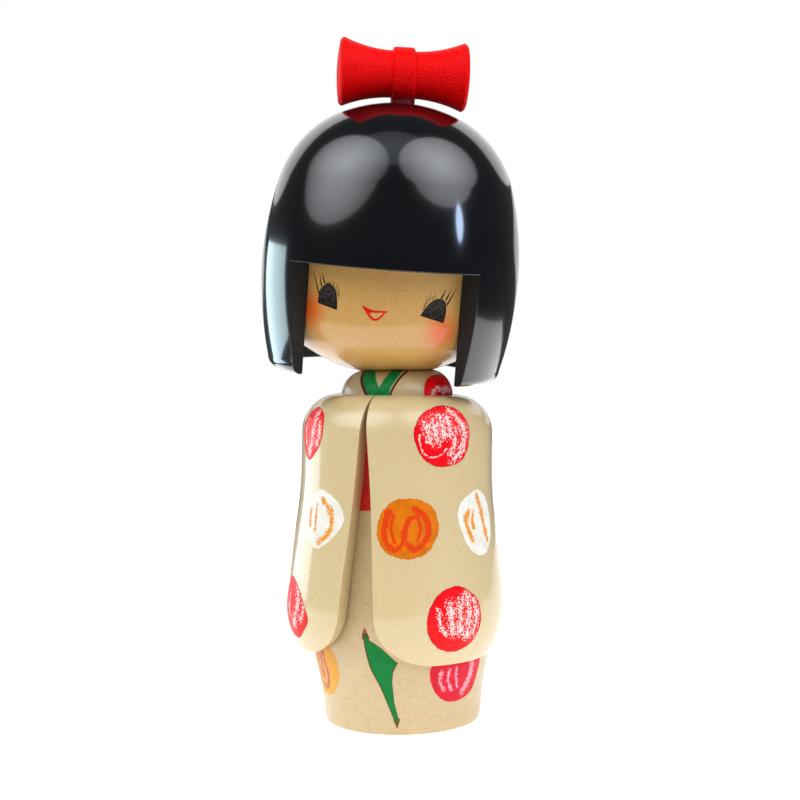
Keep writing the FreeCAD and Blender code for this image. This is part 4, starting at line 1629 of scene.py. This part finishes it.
@dataclass(frozen=True)
class SoftBox:
    """A soft light panel that faces the doll."""

    name: str
    bearing: float  # degrees from the front towards the right
    rise: float  # degrees above level
    distance: float  # mm
    size: tuple[float, float]  # mm
    watts: float
    spread: float = 180.0  # the angle over which it shines, degrees
    colour: str = "#FFFFFF"
    shape: PanelShape = PanelShape.ROUND
    aim: float = 110.0  # height that it faces, mm

    def hang(self) -> None:
        """Places the panel on its bearing, turned to face the doll's axis."""
        light = bpy.data.lights.new(self.name, "AREA")
        light.shape = self.shape.value
        light.spread = math.radians(self.spread)
        light.color = linear(self.colour)[:3]
        light.size, light.size_y = (part * MM for part in self.size)
        light.energy = self.watts
        lamp = bpy.data.objects.new(self.name, light)
        bearing, rise = math.radians(self.bearing), math.radians(self.rise)
        level = math.cos(rise)
        way = Vector((math.sin(bearing) * level, -math.cos(bearing) * level, math.sin(rise)))
        lamp.location = (way * self.distance + Vector((0, 0, self.aim))) * MM
        lamp.rotation_euler = (-way).to_track_quat("-Z", "Y").to_euler()
        lamp.visible_camera = False
        bpy.context.scene.collection.objects.link(lamp)


@dataclass(frozen=True)
class Studio:
    """A pale paper floor, soft light all round, and the camera."""

    camera_bearing: float = 20.0
    camera_distance: float = 342.6
    camera_height: float = 87.5
    pan: float = -0.106
    pitch: float = 1.788
    roll: float = -1.034
    lens: float = 63.77
    sensor: float = 36.0
    clip_start: float = 10.0
    fill: float = 0.2  # the room's light on matt faces
    mirrored: float = 0.07  # the room as gloss mirrors it, dim between the panels
    floor_reach: tuple[float, float, float] = (320.0, 230.0, 520.0)  # to each side, the front, the back
    boxes: tuple[SoftBox, ...] = (
        SoftBox("key panel left", -37, 44, 700, (1080, 800), 1.66, spread=GRID, colour="#F6FAFF"),
        SoftBox("key panel right", 75, 43, 700, (980, 760), 1.42, spread=GRID, colour="#F6FAFF"),
        SoftBox("ceiling", 19, 66, 800, (900, 620), 0.15, spread=GRID, colour="#E4EEFF"),
        SoftBox("window left", -101, -2, 420, (280, 170), 0.62, colour="#CDE6EE", shape=PanelShape.SQUARE),
        SoftBox("back panel", -160, 32, 900, (1800, 700), 2.6),
        SoftBox("horizon", -165, 5, 900, (1200, 200), 0.4),
        SoftBox("small lamp", 81, 9, 600, (75, 135), 0.32, colour="#C4DAFF"),
    )

    def build(self) -> None:
        """Lays the floor, hangs the lights and sets up the camera."""
        floor = bpy.data.meshes.new("paper_floor")
        side, front, back = (reach * MM for reach in self.floor_reach)
        corners = [(-side, -front, 0), (side, -front, 0), (side, back, 0), (-side, back, 0)]
        floor.from_pydata(corners, [], [(0, 1, 2, 3)])
        floor.materials.append(PaleCard().material())
        ground = bpy.data.objects.new("paper_floor", floor)
        bpy.context.scene.collection.objects.link(ground)
        for box in self.boxes:
            box.hang()
        self.light_room()
        self.set_camera()

    def light_room(self) -> None:
        """Fills the room with white that is seen behind the doll, and a dimmer white that lights it."""
        scene = bpy.context.scene
        scene.world = bpy.data.worlds.new("white room")
        scene.world.use_nodes = True
        tree = scene.world.node_tree
        tree.nodes.clear()
        path = add_node(tree, "ShaderNodeLightPath")
        behind, fill, mirrored = (
            add_node(tree, "ShaderNodeBackground", {"Color": linear(colour), "Strength": strength}).outputs[0]
            for colour, strength in (("#FFFFFF", 1.0), ("#F6F4F0", self.fill), ("#E8F0F8", self.mirrored)))
        lit = add_node(tree, "ShaderNodeMixShader", {0: path.outputs["Is Glossy Ray"], 1: fill, 2: mirrored})
        mixed = add_node(tree, "ShaderNodeMixShader", {
            0: path.outputs["Is Camera Ray"], 1: lit.outputs[0], 2: behind})
        add_node(tree, "ShaderNodeOutputWorld", {"Surface": mixed.outputs[0]})
        scene.view_settings.view_transform = "Standard"

    def set_camera(self) -> None:
        """Stands the camera on its bearing, then turns, tips and rolls it."""
        data = bpy.data.cameras.new("camera")
        data.lens = self.lens
        data.sensor_width = self.sensor
        data.clip_start = self.clip_start * MM
        camera = bpy.data.objects.new("camera", data)
        bearing = math.radians(self.camera_bearing)
        spot = Vector((math.sin(bearing) * self.camera_distance, -math.cos(bearing) * self.camera_distance,
                       self.camera_height)) * MM
        turn = Matrix.Rotation(math.radians(self.camera_bearing + self.pan), 4, "Z")
        tip = Matrix.Rotation(math.radians(90 - self.pitch), 4, "X")
        roll = Matrix.Rotation(math.radians(self.roll), 4, "Z")
        camera.matrix_world = Matrix.Translation(spot) @ turn @ tip @ roll
        bpy.context.scene.collection.objects.link(camera)
        bpy.context.scene.camera = camera


JOINT_HEIGHT = 84.1  # the neck's joint, mm
HEAD_LEAN = 8.4  # degrees
HEAD_BEARING = 58.8  # the way the head leans, degrees
HAIR_TURN = 16.9  # how far the face's window is turned on the head, degrees


def main() -> None:
    """Builds the doll from the foot up, then the studio round it.

    The head leans about the centre of its jaw's ball, which is sqrt(ball^2 - neck^2) over the joint.
    """
    logging.basicConfig(level=logging.INFO, format="%(message)s")
    body = BodyBlock()
    body.build()
    body.paint()
    Sleeves(body).build()
    ball_centre = JOINT_HEIGHT + math.sqrt(Head.ball ** 2 - body.neck[0] ** 2)
    head = Head(Stance(pivot=ball_centre, drop=Head.ball, lean=HEAD_LEAN, bearing=HEAD_BEARING))
    head.build()
    head.paint()
    HairCap(head.stance.facing(HAIR_TURN), head).build()
    Bow(head).build()
    dress_pegs()
    Studio().build()


if __name__ == "__main__":
    main()
